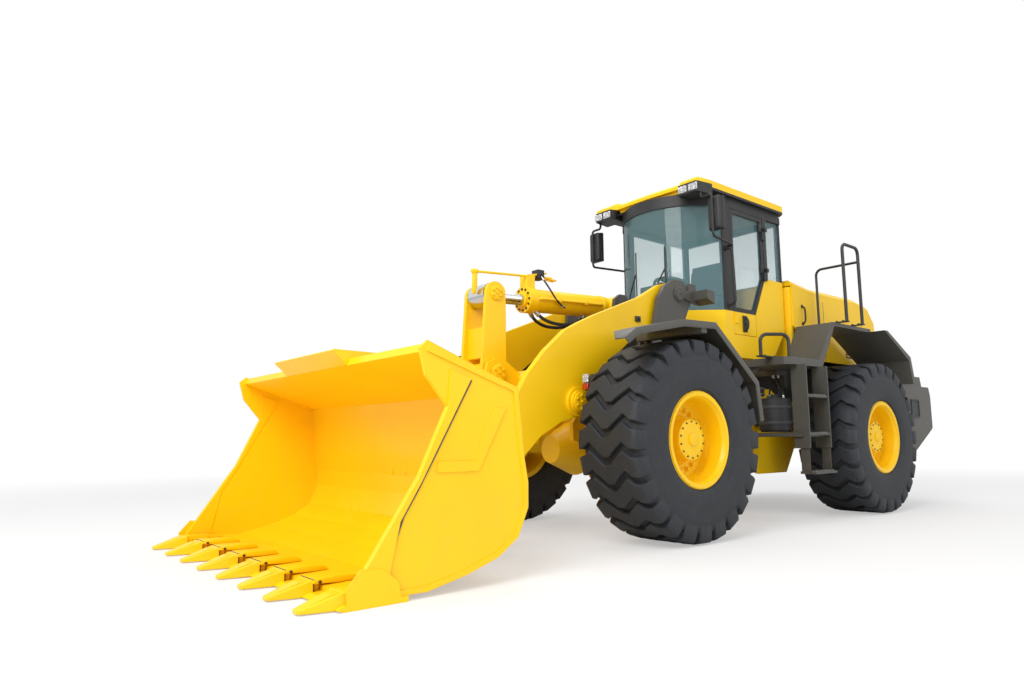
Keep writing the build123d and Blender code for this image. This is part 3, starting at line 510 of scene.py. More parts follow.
class LOADER_OT_finishes(bpy.types.Operator):
    """Makes the finishes and puts them on the CAD pieces"""
    bl_idname = "loader.finishes"
    bl_label = "Finishes"

    def execute(self, context):
        colours = context.scene.loader_colours
        yellow, grey = tuple(colours.yellow), tuple(colours.grey)
        FINISHES.update({
            "yellow": paint("yellow_paint", yellow),
            "rim": paint("rim_paint", yellow, 0.34, 0.08, 0.004),
            "grey": paint("grey_paint", grey, 0.42, 0.1, 0.005, 0.15),
            "machinery": paint("machinery_paint", (0.05, 0.052, 0.055), 0.5, 0.15, 0.006, 0.0),
            "axle": paint("axle_paint", tuple(c * 0.9 for c in yellow), 0.4, 0.1, 0.006, 0.15),
            "tyre": tyre_rubber(),
            "chrome": bright_steel("rod_chrome"),
            "zinc": bright_steel("zinc_bolts", (0.45, 0.45, 0.46), 0.32),
            "dark_bolt": bright_steel("dark_bolts", (0.10, 0.10, 0.11), 0.38),
            "glass": pane("cab_glass", tuple(colours.glass), 0.13),
            "plastic": moulded("black_plastic", (0.012, 0.012, 0.013), 0.48),
            "tube": moulded("black_tube", (0.016, 0.016, 0.017), 0.36, 520.0, 0.0),
            "rubber": moulded("line_rubber", (0.014, 0.014, 0.015), 0.62, 240.0, 0.0),
            "seat": woven("seat_cloth", (0.018, 0.019, 0.022)),
            "deck": tread_plate("deck_plate", grey),
            "lamp": lens("lamp_glass", (0.85, 0.88, 0.92), 0.25),
            "red": lens("red_glass", (0.75, 0.02, 0.015), 0.3),
            "mirror": bright_steel("mirror_glass", (0.62, 0.66, 0.7), 0.03),
        })
        starts = {
            "tyre": ("tyre",),
            "rim": ("rim",),
            "glass": ("cab_glass", "door_glass"),
            "plastic": ("cab_frame", "door_left", "console", "steering_wheel", "mirror", "headlamp", "tank"),
            "seat": ("seat",),
            "tube": ("rails",),
            "grey": ("ladder", "fender", "boom_tower", "counterweight"),
            "deck": ("deck",),
            "machinery": ("grille", "engine", "transmission", "radiator", "exhaust"),
            "axle": ("front_axle", "rear_axle"),
        }
        for name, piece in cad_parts.items():
            key = next((finish for finish, words in starts.items() if name.startswith(words)), "yellow")
            key = "chrome" if name.endswith("_rod") else key
            for entry in piece.material_slots:
                entry.link = "OBJECT"
                entry.material = FINISHES[key]
        return {"FINISHED"}


class LOADER_OT_tyres(bpy.types.Operator):
    """Tyres with a moulded sidewall and zigzag lugs"""
    bl_idname = "loader.tyres"
    bl_label = "Tyres"

    def execute(self, context):
        sizes = context.scene.loader_sizes
        top, depth = HUB_HEIGHT, sizes.lug_depth
        carcass = [(0.351, 0.248), (0.381, 0.250), (0.386, 0.268), (0.402, 0.285), (0.430, 0.290),
                   (0.455, 0.2965), (0.50, 0.2980), (0.56, 0.2980), (0.61, 0.2980), (0.66, 0.294),
                   (0.70, 0.285), (0.735, 0.262), (0.750, 0.228), (0.756, 0.16), (top - depth, 0.08)]
        inside = [(0.70, 0.18), (0.66, 0.235), (0.58, 0.262), (0.45, 0.262), (0.38, 0.235), (0.351, 0.212)]
        outside = carcass + [(r, -w) for r, w in reversed(carcass)]
        profile = outside + [(r, -w) for r, w in reversed(inside)] + inside
        origin = Vector((FRONT_AXLE, TRACK, HUB_HEIGHT))
        first = None
        for name, x, side in WHEELS:
            hub = Vector((x, side * TRACK, HUB_HEIGHT))
            if first is None:
                parts = [turned("carcass", profile, hub, side, 96),
                         self.lugs(hub, sizes.lug_count, top, depth)]
            else:                                                # the first, brought back from the row frame
                move = Matrix.Translation(hub) @ Matrix.Scale(side, 4, ACROSS) @ Matrix.Translation(-origin)
                parts = [copied(first, move @ TO_ROW_FRAME.inverted())]
            made = fitted("tyre_piece_" + name, parts, "wheel_" + name, "tyre")
            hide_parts("tyre_" + name)
            first = first or made
        return {"FINISHED"}

    def lugs(self, hub, count, top, depth):
        """One zigzag lug from shoulder to shoulder, shaped from a grid, and its copies."""
        # from the middle to one shoulder: (across, turn in lug pitches, radius)
        half_width = ((0.028, 0.24, top), (0.085, 0.0, top), (0.165, -0.30, top), (0.235, -0.06, 0.795),
                      (0.285, -0.04, 0.783), (0.2982, -0.03, 0.745), (0.2985, -0.02, 0.668))
        stations = [(-w, lean, r) for w, lean, r in reversed(half_width)] + list(half_width)
        last = len(stations) - 1
        piece = added("lug", bpy.ops.mesh.primitive_grid_add, x_subdivisions=last, y_subdivisions=1, size=2)
        extruded(piece, (0, 0, -1))
        for v in piece.data.vertices:
            w, lean, r = stations[round((v.co.x + 1) / 2 * last)]
            half = 0.35
            if v.co.z < -0.5:                                    # the foot is wider and sunk into the carcass
                half = 0.385
                r = max(0.64, r - depth - 0.02) if abs(w) > 0.24 else r - depth - 0.012
                w *= 0.965 if abs(w) > 0.26 else 1.0
            angle = 2 * pi / count * (lean + (half if v.co.y > 0 else -half))
            v.co = hub + Vector((sin(angle) * r, w, cos(angle) * r))
        return ring("lugs", outward(soften(piece, 0.006, 1, 30)), count, hub)


class LOADER_OT_wheel_fittings(bpy.types.Operator):
    """Wheel nuts, hub cap bolts, hub plug and lock ring on each rim"""
    bl_idname = "loader.wheel_fittings"
    bl_label = "Wheel fittings"

    def execute(self, context):
        for name, x, side in WHEELS:
            hub = Vector((x, side * TRACK, HUB_HEIGHT))
            out = Vector((0, side, 0))
            nut = bolt(hub + Vector((0, side * 0.058, 0.245)), out, 0.034, 0.030)
            fitted("wheel_nuts_" + name, [ring("nuts", nut, 20, hub)], "wheel_" + name, "rim")
            cap = bolt(hub + Vector((0, side * 0.188, 0.142)), out, 0.015, 0.008, False)
            fitted("cap_bolts_" + name, [ring("bolts", cap, 14, hub)], "wheel_" + name, "dark_bolt")
            plug = disc("plug", hub + Vector((0, side * 0.197, 0.0)), out, 0.05, 0.02, 28, 0.004)
            lock = turned("lock_ring", [(0.340, 0.262), (0.372, 0.262), (0.372, 0.274), (0.340, 0.271)],
                          hub, side, 72)
            fitted("hub_plug_" + name, [plug, lock], "wheel_" + name, "rim")
        return {"FINISHED"}


class LOADER_OT_bucket(bpy.types.Operator):
    """Tooth adapters, points and pins, the seams of the side cutters, corner bolts and wear strips"""
    bl_idname = "loader.bucket"
    bl_label = "Bucket"

    def execute(self, context):
        nose = ((4.30, 0.0595), (4.33, 0.088), (4.42, 0.095), (4.575, 0.094), (4.592, 0.070), (4.44, 0.0595))
        row = [TOOTH_PITCH * (i - (TEETH - 1) / 2) for i in range(TEETH)]
        adapter = plate("adapter", -0.068, nose, 0.136, round_by=0.006)
        for v in adapter.data.vertices:                          # wider toward the tooth
            v.co.y *= 0.85 + (v.co.x - 4.30) / 0.275 * 0.45
        copies = [copied(adapter, Matrix.Translation((0, y, 0))) for y in row[1:-1]]
        bpy.data.objects.remove(adapter)
        fitted("tooth_adapters", copies, "bucket", "yellow")
        point = block("point", (4.578, -0.084, 0.003), (4.803, 0.084, 0.091), 0.0)
        for v in point.data.vertices:                            # drawn out to the tip
            if v.co.x > 4.7:
                v.co.y, v.co.z = v.co.y * 0.42, 0.007 if v.co.z < 0.05 else 0.026
        soften(point, 0.006)
        points = [copied(point, Matrix.Translation((0, y, 0))) for y in row]
        bpy.data.objects.remove(point)
        fitted("tooth_points", points, "bucket", "yellow")
        pins = [disc("pin", (4.545, y + s * 0.089, 0.077), ACROSS, 0.009, 0.010, 16, 0.002)
                for y in row[1:-1] for s in (1, -1)]
        seams = [block("seam", (4.5745, y - 0.086, 0.030), (4.5785, y + 0.086, 0.0925), 0.0)
                 for y in row[1:-1]]
        fitted("tooth_pins", pins + seams, "bucket", "dark_bolt")
        for name, side in SIDES:
            edge = [(x, side * 1.4700, z)
                    for x, z in ((3.852, 1.150), (4.172, 0.590), (4.296, 0.396), (4.374, 0.110))]
            fitted("cutter_seam_" + name, [tube("seam", edge, 0.006, order=2)], "bucket", "dark_bolt")
            corner = block("head", (4.47, side * 1.4855, 0.105), (4.51, side * 1.4878, 0.145), 0.001)
            fitted("corner_bolt_" + name, [corner], "bucket", "axle")
        strips = [block("strip", (3.90, y - 0.05, 0.045), (4.28, y + 0.05, 0.058), 0.004)
                  for y in (-1.1, -0.55, 0.0, 0.55, 1.1)]
        fitted("wear_strips", strips, "bucket", "yellow")
        return {"FINISHED"}


class LOADER_OT_pins(bpy.types.Operator):
    """Covers on the ends of the pins and on the two hitch pins"""
    bl_idname = "loader.pins"
    bl_label = "Pin covers"

    def execute(self, context):
        for name, body, x, z, face, radius, finish in (
                ("bucket_pin", "bucket", 3.25, 0.33, 0.705, 0.072, "yellow"),
                ("lift_rod_pin", "boom", 2.216, 1.106, 0.675, 0.078, "yellow"),
                ("boom_pin", "front", 0.94, 2.14, 0.695, 0.075, "grey"),
                ("rocker_pin", "boom", 2.69, 1.35, 0.212, 0.072, "yellow"),
                ("rocker_top_pin", "rocker", 2.67, 2.02, 0.158, 0.062, "yellow"),
                ("link_pin", "rocker", 2.633, 0.702, 0.158, 0.060, "yellow"),
                ("lift_base_pin", "front", 0.60, 1.15, 0.485, 0.058, "yellow")):
            pin_end(name, body, x, z, face, radius, finish)
        for name, z, up in (("upper", 1.062, 1), ("lower", 0.418, -1)):
            centre = Vector((0, 0, z))
            cover = disc("cover", centre, (0, 0, up), 0.105, 0.022, 40, 0.004)
            head = bolt(centre + Vector((0.080, 0, up * 0.010)), (0, 0, up), 0.024, 0.012)
            fitted("hitch_cover_" + name, [cover, ring("heads", head, 8, centre, UP)], "front", "machinery")
        return {"FINISHED"}


class LOADER_OT_hydraulics(bpy.types.Operator):
    """Glands, steel lines and hoses of the cylinders, and the boots of the lift pins"""
    bl_idname = "loader.hydraulics"
    bl_label = "Hydraulics"

    def execute(self, context):
        line = context.scene.loader_sizes.line_radius
        rams = [("tilt", "tilt_barrel", (1.15, 0.0, 2.085), (2.67, 0.0, 2.02), 0.105, 0.052, 1.08, 12)]
        for name, side in SIDES:
            rams.append(("lift_" + name, "lift_barrel_" + name, (0.60, side * 0.41, 1.15),
                         (2.216, side * 0.41, 1.106), 0.080, 0.048, 1.40, 10))
            rams.append(("steer_" + name, "steer_barrel_" + name, (-0.55, side * 0.33, 0.62),
                         (0.42, side * 0.38, 0.62), 0.052, 0.028, 0.65, 8))
        for name, body, base, tip, barrel, rod, length, count in rams:
            base, tip = Vector(base), Vector(tip)
            axis = (tip - base).normalized()
            end = base + axis * (length + 0.025)                 # the gland stands 25 mm past the barrel
            above = axis.cross(Vector(ACROSS)).normalized()
            above = above if above.z > 0 else -above
            collar = disc("collar", end - axis * 0.035, axis, barrel * 1.10, 0.060, 40, 0.004)
            nose = disc("nose", end + axis * 0.010, axis, rod * 1.35, 0.024, 32, 0.003)
            rear = disc("rear", base + axis * (0.16 if barrel > 0.06 else 0.10), axis, barrel * 1.05, 0.030,
                        40, 0.004)
            fitted("gland_" + name, [collar, nose, rear], body, "yellow")
            head = bolt(end - axis * 0.001 + above * (barrel * 1.12 + rod * 1.35) * 0.5, axis, barrel * 0.2,
                        0.012, False)
            fitted("gland_bolts_" + name, [ring("bolts", head, count, end, axis)], body, "dark_bolt")
            if barrel > 0.06:
                outside = Vector((0, 1 if base.y >= 0 else -1, 0)) * (barrel + line * 1.4)
                start, stop = base + axis * 0.22, end - axis * 0.10
                bends = (start + outside * 0.86, start + outside, start + axis * 0.05 + outside,
                         stop - axis * 0.06 + outside, stop + outside, stop + outside * 0.86)
                half = Vector((0.015, 0.016, 0.020))
                middles = [start + axis * d + outside for d in (0.22, (length - 0.32) * 0.72)]
                clips = [block("clip", middle - half, middle + half) for middle in middles]
                fitted("steel_line_" + name, [tube("pipe", bends, line)] + clips, body, "yellow")
        hoses = (("tilt_hose_a", ((2.12, 0.03, 1.928), (2.06, 0.05, 1.865), (1.85, 0.07, 1.835),
                                  (1.61, 0.05, 1.89), (1.55, 0.03, 1.955)), "tilt_barrel"),
                 ("tilt_hose_b", ((2.14, -0.03, 1.928), (2.07, -0.05, 1.855), (1.83, -0.07, 1.825),
                                  (1.57, -0.05, 1.88), (1.50, -0.03, 1.957)), "tilt_barrel"),
                 ("level_hose", ((2.085, 0.075, 2.245), (2.06, 0.135, 2.15), (1.95, 0.135, 2.02),
                                 (1.86, 0.108, 2.000)), "tilt_barrel"))
        for name, points, body in hoses:
            hose(name, points, line * (0.6 if name == "level_hose" else 1.15), body)
        for name, side in SIDES:
            stack = [disc("rib", (2.216, side * (0.475 + i * 0.017), 1.106), ACROSS,
                          0.094 if i % 2 else 0.086, 0.016, 32, 0.004) for i in range(5)]
            fitted("pin_boot_" + name, stack, "boom", "rubber")
        return {"FINISHED"}


class LOADER_OT_level_bar(bpy.types.Operator):
    """Level indicator rod, its post and the switch it slides through"""
    bl_idname = "loader.level_bar"
    bl_label = "Level bar"

    def execute(self, context):
        bar = tube("bar", [(1.93, 0.02, 2.272), (2.50, 0.02, 2.235), (2.79, 0.02, 2.215)], 0.011, order=2)
        elbow = disc("elbow", (2.79, 0.02, 2.215), (1, 0, -0.06), 0.020, 0.060, 20, 0.004)
        corners = ((2.772, 2.09), (2.772, 2.235), (2.808, 2.235), (2.812, 2.02), (2.785, 2.02))
        post = plate("post", 0.006, corners, 0.028, round_by=0.004)
        fitted("level_bar", [bar, elbow, post], "tilt_rod", "yellow")
        box = block("box", (2.045, -0.030, 2.235), (2.125, 0.060, 2.325), 0.008)
        nut = disc("nut", (2.085, 0.072, 2.268), ACROSS, 0.014, 0.03, 6, 0.002)
        fitted("level_switch", [box, nut], "tilt_barrel", "plastic")
        return {"FINISHED"}


class LOADER_OT_fenders(bpy.types.Operator):
    """Front fenders: folded sheet whose inner edge runs clear of the boom"""
    bl_idname = "loader.fenders"
    bl_label = "Front fenders"

    def execute(self, context):
        # degrees round the axle, height over the tyre, inner edge from the middle plane
        stations = ((39.7, 0.334, 1.30), (47.0, 0.302, 1.18), (77.8, 0.147, 0.90), (103.2, 0.166, 0.762),
                    (148.9, 0.137, 0.762), (169.8, 0.067, 0.762))
        for name, side in SIDES:
            piece = added("sheet", bpy.ops.mesh.primitive_grid_add, x_subdivisions=len(stations) - 1,
                          y_subdivisions=2, size=2)
            for v in piece.data.vertices:
                degrees, height, inner = stations[round((v.co.x + 1) / 2 * (len(stations) - 1))]
                across, drop = ((1.397, 0.055), (1.397, 0.0), (inner, 0.0))[round(v.co.y + 1)]
                reach = HUB_HEIGHT + height - drop
                v.co = (FRONT_AXLE + reach * cos(radians(degrees)), side * across,
                        HUB_HEIGHT + reach * sin(radians(degrees)))
            outward(piece)
            soften(modified(piece, "SOLIDIFY", thickness=0.010, offset=0.0), 0.002)
            corners = ((1.49, 1.64), (1.56, 1.64), (1.56, 1.716), (1.49, 1.716))
            brace = plate("brace", side * 0.70, corners, 0.69, side)
            corners = ((1.30, 1.33), (1.38, 1.33), (1.56, 1.718), (1.49, 1.718))
            stay = plate("stay", side * 0.745, corners, 0.040, side)
            foot = block("foot", (1.30, side * 0.695, 1.33), (1.38, side * 0.775, 1.40), 0.004)
            heads = [bolt((1.525, side * y, 1.728), UP, 0.020, 0.010) for y in (0.90, 1.10, 1.30)]
            made = fitted("fender_piece_" + name, [piece, brace, stay, foot] + heads, "front", "grey")
            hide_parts("fender_front_" + name)
        return {"FINISHED"}


class LOADER_OT_cab(bpy.types.Operator):
    """Wipers, grab rail, door handle, hinge leaves, mirrors, boom clip and engine cowl"""
    bl_idname = "loader.cab"
    bl_label = "Cab fittings"

    def execute(self, context):
        def shield(y, out):
            """How far ahead a point lies that stands out from the windshield."""
            return WINDSHIELD_BACK + sqrt(WINDSHIELD_RADIUS ** 2 - y * y) + out

        low, high = 2.28, 2.76
        for name, base, top in (("near", 0.05, 0.24), ("far", -0.30, -0.12)):
            motor = disc("motor", (shield(base, 0.016), base, 2.125), AHEAD, 0.030, 0.040, 24, 0.004)
            arm = tube("arm", [(shield(base, 0.034), base, 2.125),
                               (shield((base + top) / 2, 0.036), (base + top) / 2, 2.33),
                               (shield(top, 0.016), top, 2.52)], 0.008)
            blade = tube("blade", [(shield(top, 0.006), top, low), (shield(top, 0.010), top, 2.52),
                                   (shield(top, 0.006), top, high)], 0.007)
            fitted("wiper_" + name, [motor, arm, blade], "rear", "plastic")
        grab = tube("grab", [(0.10, 0.675, 2.13), (0.10, 0.745, 2.14), (0.10, 0.750, 2.22),
                             (0.12, 0.750, 2.64), (0.125, 0.745, 2.71), (0.125, 0.675, 2.72)], 0.013)
        feet = [disc("foot", (x, 0.680, z), ACROSS, 0.026, 0.012, 20, 0.003)
                for x, z in ((0.10, 2.13), (0.125, 2.72))]
        fitted("grab_rail", [grab] + feet, "rear", "tube")
        backing = block("backing", (-0.185, 0.676, 1.88), (-0.115, 0.690, 2.05), 0.006)
        pull = tube("pull", [(-0.150, 0.685, 2.035), (-0.150, 0.722, 2.025), (-0.150, 0.722, 1.905),
                             (-0.150, 0.685, 1.895)], 0.010)
        lock = disc("lock", (-0.150, 0.694, 1.965), ACROSS, 0.012, 0.012, 20, 0.002)
        fitted("door_handle", [backing, pull, lock], "door", "plastic")
        leaves = [block("leaf", (-0.548, 0.677, z - 0.045), (-0.490, 0.688, z + 0.045), 0.004)
                  for z in (2.60, 3.05)]
        fitted("door_hinge_leaves", leaves, "door", "plastic")
        for name, side in SIDES:
            glass = block("glass", (0.4315, side * 0.758, 2.838), (0.4362, side * 0.882, 3.132), 0.002)
            fitted("mirror_glass_" + name, [glass], "rear", "mirror")
            hood = block("hood", (0.438, side * 0.745, 2.815), (0.515, side * 0.895, 3.155), 0.030, 4)
            clamp = disc("clamp", (0.50, side * 0.820, 2.99), UP, 0.020, 0.060, 20, 0.003)
            fitted("mirror_back_" + name, [hood, clamp], "rear", "plastic")
        clip = block("clip", (1.43, 0.631, 1.835), (1.49, 0.650, 1.885), 0.005)
        stud = disc("stud", (1.46, 0.655, 1.86), ACROSS, 0.013, 0.012, 6, 0.002)
        fitted("boom_clip", [clip, stud], "boom", "plastic")
        cowl = block("cowl", (-1.050, -0.715, 1.62), (-0.988, 0.715, 2.465), 0.012)
        fitted("engine_cowl", [cowl], "rear", "yellow")
        return {"FINISHED"}


class LOADER_OT_seat(bpy.types.Operator):
    """Seat cushions, arm rests, joystick and column"""
    bl_idname = "loader.seat"
    bl_label = "Seat and controls"

    def execute(self, context):
        for name, low, high, lean in (("seat_cushion", (-0.55, -0.255, 2.095), (-0.07, 0.255, 2.185), 0.0),
                                      ("back_cushion", (-0.50, -0.235, 2.20), (-0.41, 0.235, 2.76), -0.155)):
            self.cushion(name, Vector(low), Vector(high), lean)
        rests = [block("rest", (-0.50, side * 0.285, 2.33), (-0.22, side * 0.345, 2.375), 0.015, 3)
                 for side in (1, -1)]
        posts = [block("post", (-0.50, side * 0.300, 2.10), (-0.46, side * 0.330, 2.34), 0.006)
                 for side in (1, -1)]
        stick = tube("stick", [(-0.14, -0.355, 2.245), (-0.13, -0.355, 2.33), (-0.11, -0.355, 2.38)], 0.013)
        knob = disc("knob", (-0.105, -0.355, 2.40), (0.2, 0, 1), 0.024, 0.07, 24, 0.012)
        fitted("arm_rests", rests + posts + [stick, knob], "rear", "plastic")
        screen = block("screen", (0.10, -0.47, 2.36), (0.14, -0.27, 2.50), 0.010, 3)
        stalk = tube("stalk", [(0.16, -0.37, 2.05), (0.15, -0.37, 2.20), (0.13, -0.37, 2.38)], 0.014)
        boss = disc("boss", (0.158, 0.0, 2.444), (-0.28, 0, 0.96), 0.050, 0.03, 32, 0.008)
        fitted("dash_fittings", [screen, stalk, boss], "rear", "plastic")
        return {"FINISHED"}

    def cushion(self, name, low, high, lean):
        """Padded block with two crowned faces; lean is how far it tips for each metre of height."""
        centre, half = (low + high) / 2, (high - low) / 2
        thin = min(range(3), key=lambda i: half[i])
        piece = settle(added(name, bpy.ops.mesh.primitive_cube_add, size=1, location=centre,
                             scale=tuple(high - low)))
        bpy.ops.object.mode_set(mode="EDIT")
        bpy.ops.mesh.select_all(action="SELECT")
        bpy.ops.mesh.subdivide(number_cuts=3)
        bpy.ops.object.mode_set(mode="OBJECT")
        for v in piece.data.vertices:
            share = [(v.co[i] - centre[i]) / half[i] for i in range(3)]
            crown = max(0.0, 1 - max(abs(share[i]) for i in range(3) if i != thin) ** 2)
            v.co[thin] += half[thin] * share[thin] * 0.35 * crown
            v.co.x += lean * (v.co.z - low.z)
        soften(modified(piece, "SUBSURF", levels=2), 0)
        fitted(name, [piece], "rear", "seat")


class LOADER_OT_lamps(bpy.types.Operator):
    """Lenses of the work lamps, rear work lamps, marker lamps and tail lamps"""
    bl_idname = "loader.lamps"
    bl_label = "Lamps"

    def execute(self, context):
        for name, side in SIDES:
            panes = [block("pane", (0.596, side * y0, 3.243), (0.606, side * y1, 3.313), 0.006, 3)
                     for y0, y1 in ((0.470, 0.575), (0.595, 0.705))]
            fitted("work_lens_" + name, panes, "rear", "lamp")
            case = block("case", (-0.975, side * 0.50, 3.175), (-0.915, side * 0.66, 3.262), 0.010, 3)
            fitted("rear_work_lamp_" + name, [case], "rear", "plastic")
            lens_piece = block("lens", (-0.984, side * 0.512, 3.187), (-0.972, side * 0.648, 3.250), 0.004, 3)
            fitted("rear_work_lens_" + name, [lens_piece], "rear", "lamp")
            front = block("front", (2.228, side * 0.722, 1.255), (2.243, side * 0.783, 1.322), 0.006, 3)
            fitted("marker_lamp_white_" + name, [front], "front", "lamp")
            outer = block("outer", (2.228, side * 0.722, 1.197), (2.243, side * 0.783, 1.248), 0.006, 3)
            fitted("marker_lamp_red_" + name, [outer], "front", "red")
            tail = block("tail", (-3.166, side * 1.00, 1.415), (-3.128, side * 1.12, 1.485), 0.006, 3)
            fitted("tail_lamp_" + name, [tail], "rear", "red")
        return {"FINISHED"}


class LOADER_OT_decks(bpy.types.Operator):
    """Step ribs and straps, rail bolts, mud flaps, tank bands, valve block and tank hoses"""
    bl_idname = "loader.decks"
    bl_label = "Decks and steps"

    def execute(self, context):
        for name, side in SIDES:
            ribs = [block("rib", (x - 0.006, side * 1.150, z), (x + 0.006, side * 1.275, z + 0.008), 0.002)
                    for z in (1.211, 0.846) for x in (-0.56, -0.50, -0.44, -0.38, -0.32, -0.26)]
            ribs += [block("rib", (x - 0.006, side * 1.180, 0.480), (x + 0.006, side * 1.320, 0.488), 0.002)
                     for x in (-0.56, -0.48, -0.40, -0.32, -0.24)]
            fitted("step_ribs_" + name, ribs, "rear", "zinc")
            heads = [bolt((x - 0.017, side * y, z), (-1, 0, 0), 0.022, 0.010) for x in (-0.205, -0.605)
                     for y in (1.20, 1.25) for z in (0.74, 0.52)]
            fitted("strap_bolts_" + name, heads, "rear", "zinc")
            straps = [block("strap", (x - 0.018, side * 1.182, 0.500), (x - 0.012, side * 1.268, 0.770),
                            0.002) for x in (-0.205, -0.605)]
            fitted("step_straps_" + name, straps, "rear", "rubber")
            feet = [bolt((x, side * y, 2.013), UP, 0.024, 0.012) for x in (-1.10, -1.45)
                    for y in (1.18, 1.25)]
            feet += [bolt((x, side * 1.0, 1.593), UP, 0.022, 0.012) for x in (-0.14, 0.03)]
            fitted("rail_bolts_" + name, feet, "rear", "dark_bolt")
            corners = [(-0.735, side * y, z)
                       for y, z in ((0.82, 1.50), (1.18, 1.50), (1.18, 1.10), (0.82, 1.10))]
            flap = outline("flap", corners, 0.010, (-1, 0, 0))
            fitted("mud_flap_" + name, [flap], "rear", "rubber")
        tank_x, tank_y = -0.43, 0.80
        bands = [disc("band", (tank_x, tank_y, z), UP, 0.169, 0.032, 56, 0.004) for z in (0.95, 1.11)]
        cap = disc("cap", (tank_x + 0.10, tank_y, 1.212), UP, 0.026, 0.030, 8, 0.003)
        fitted("tank_bands", bands + [cap], "rear", "machinery")
        valve = block("valve", (-0.62, 0.468, 1.235), (-0.42, 0.575, 1.335), 0.006)
        ports = [disc("port", (-0.58 + i * 0.05, 0.585, z), ACROSS, 0.014, 0.03, 6, 0.002) for i in range(3)
                 for z in (1.26, 1.31)]
        fitted("valve_block", [valve] + ports, "rear", "zinc")
        routes = (((-0.52, 0.80), (-0.60, 0.70)), ((-0.43, 0.90), (-0.57, 0.77)),
                  ((-0.34, 0.80), (-0.52, 0.74)))
        for i, ((x0, y0), (x1, y1)) in enumerate(routes):
            points = ((x0, y0, 1.202), (x0, y0, 1.26), ((x0 + x1) / 2, (y0 + y1) / 2, 1.34), (x1, y1, 1.40),
                      (x1, y1, 1.448))
            hose("tank_hose_%d" % i, points, 0.010, "rear")
        return {"FINISHED"}


class LOADER_OT_hood(bpy.types.Operator):
    """Vent frames with painted shade inside them, handles, seams, latches and exhaust clamps"""
    bl_idname = "loader.hood"
    bl_label = "Hood fittings"

    def execute(self, context):
        for name, side in SIDES:
            # a dark sheet set inside each vent frame: painted shade of the vent opening
            painted_vent_shade = [block("painted_vent_shade", (-2.518, side * 0.712, z), (-2.182, side * 0.7135, z + 0.126), 0.0)
                    for z in (1.752, 2.002)]
            rims = [bar for z in (1.75, 2.0)
                    for bar in edging("rim", (-2.532, z - 0.012), (-2.168, z + 0.142), 0.012, side * 0.732,
                                      side * 0.745, 0.002)]
            fitted("vent_frames_and_shade_" + name, rims + painted_vent_shade, "hood", "plastic")
            pull = tube("pull", [(-1.20, side * 0.738, 2.06), (-1.20, side * 0.775, 2.07),
                                 (-1.20, side * 0.778, 2.16), (-1.20, side * 0.775, 2.25),
                                 (-1.20, side * 0.738, 2.26)], 0.010)
            feet = [disc("foot", (-1.20, side * 0.741, z), ACROSS, 0.020, 0.008, 20, 0.002)
                    for z in (2.06, 2.26)]
            fitted("hood_handle_" + name, [pull] + feet, "hood", "plastic")
            seam = [block("seam", (x, side * 0.7395, 1.66), (x + 0.005, side * 0.7415, 2.36), 0.0)
                    for x in (-1.68, -2.62)]
            fitted("hood_seams_" + name, seam, "hood", "plastic")
            latch = disc("latch", (-1.58, side * 0.742, 1.74), ACROSS, 0.028, 0.012, 28, 0.003)
            key = block("key", (-1.596, side * 0.745, 1.736), (-1.564, side * 0.752, 1.744), 0.001)
            fitted("hood_latch_" + name, [latch, key], "hood", "zinc")
        rings = [disc("clamp", (-1.30, -0.30, z), UP, 0.082, 0.022, 40, 0.003) for z in (2.56, 2.80)]
        fitted("exhaust_clamps", rings, "hood", "zinc")
        return {"FINISHED"}


class LOADER_OT_frame(bpy.types.Operator):
    """Plate bolts, axle bolts, counterweight recesses with painted shade, lifting eyes and the drive shaft"""
    bl_idname = "loader.frame"
    bl_label = "Frame fittings"

    def execute(self, context):
        for name, side in SIDES:
            lower = [bolt((x, side * 0.312, 0.93), (0, side, 0), 0.034, 0.016)
                     for x in (0.72, 0.84, 0.96, 1.08, 1.20, 1.32)]
            fitted("plate_bolts_" + name, lower, "front", "dark_bolt")
            axle = [bolt((x, side * 0.312, z), (0, side, 0), 0.040, 0.024) for x in (1.47, 1.73)
                    for z in (0.965, 1.03)]
            fitted("axle_bolts_" + name, axle, "front", "zinc")
            recess_frames_and_shade = []
            for x in (-2.62, -2.98):
                recess_frames_and_shade += edging("edge", (x, 1.02), (x + 0.22, 1.24), 0.015, side * 1.196, side * 1.212,
                                 0.003)
                # a darker sheet on the counterweight face inside each frame: painted shade of the recess
                recess_frames_and_shade.append(block("floor", (x + 0.01, side * 1.1985, 1.03),
                                    (x + 0.21, side * 1.2015, 1.23), 0.0))
            fitted("weight_recess_" + name, recess_frames_and_shade, "rear", "machinery")
            corners = ((-2.94, 1.515), (-2.94, 1.565), (-2.91, 1.590), (-2.83, 1.590), (-2.80, 1.565),
                       (-2.80, 1.515))
            eye = plate("eye", side * 0.90, corners, 0.03, round_by=0.006)
            boss = disc("boss", (-2.87, side * 0.90 + 0.015, 1.555), ACROSS, 0.022, 0.040, 28, 0.003)
            fitted("lifting_eye_" + name, [eye, boss], "rear", "grey")
        shaft = disc("shaft", (0.02, 0, 0.72), AHEAD, 0.045, 0.34, 32, 0.004)
        yokes = [disc("yoke", (x, 0, 0.72), AHEAD, 0.075, 0.05, 32, 0.006) for x in (-0.15, 0.19)]
        cross = [disc("cross", (x, 0, 0.72), axis, 0.022, 0.13, 20, 0.003) for x in (-0.12, 0.16)
                 for axis in (ACROSS, UP)]
        fitted("drive_shaft", [shaft] + yokes + cross, "rear", "machinery")
        return {"FINISHED"}


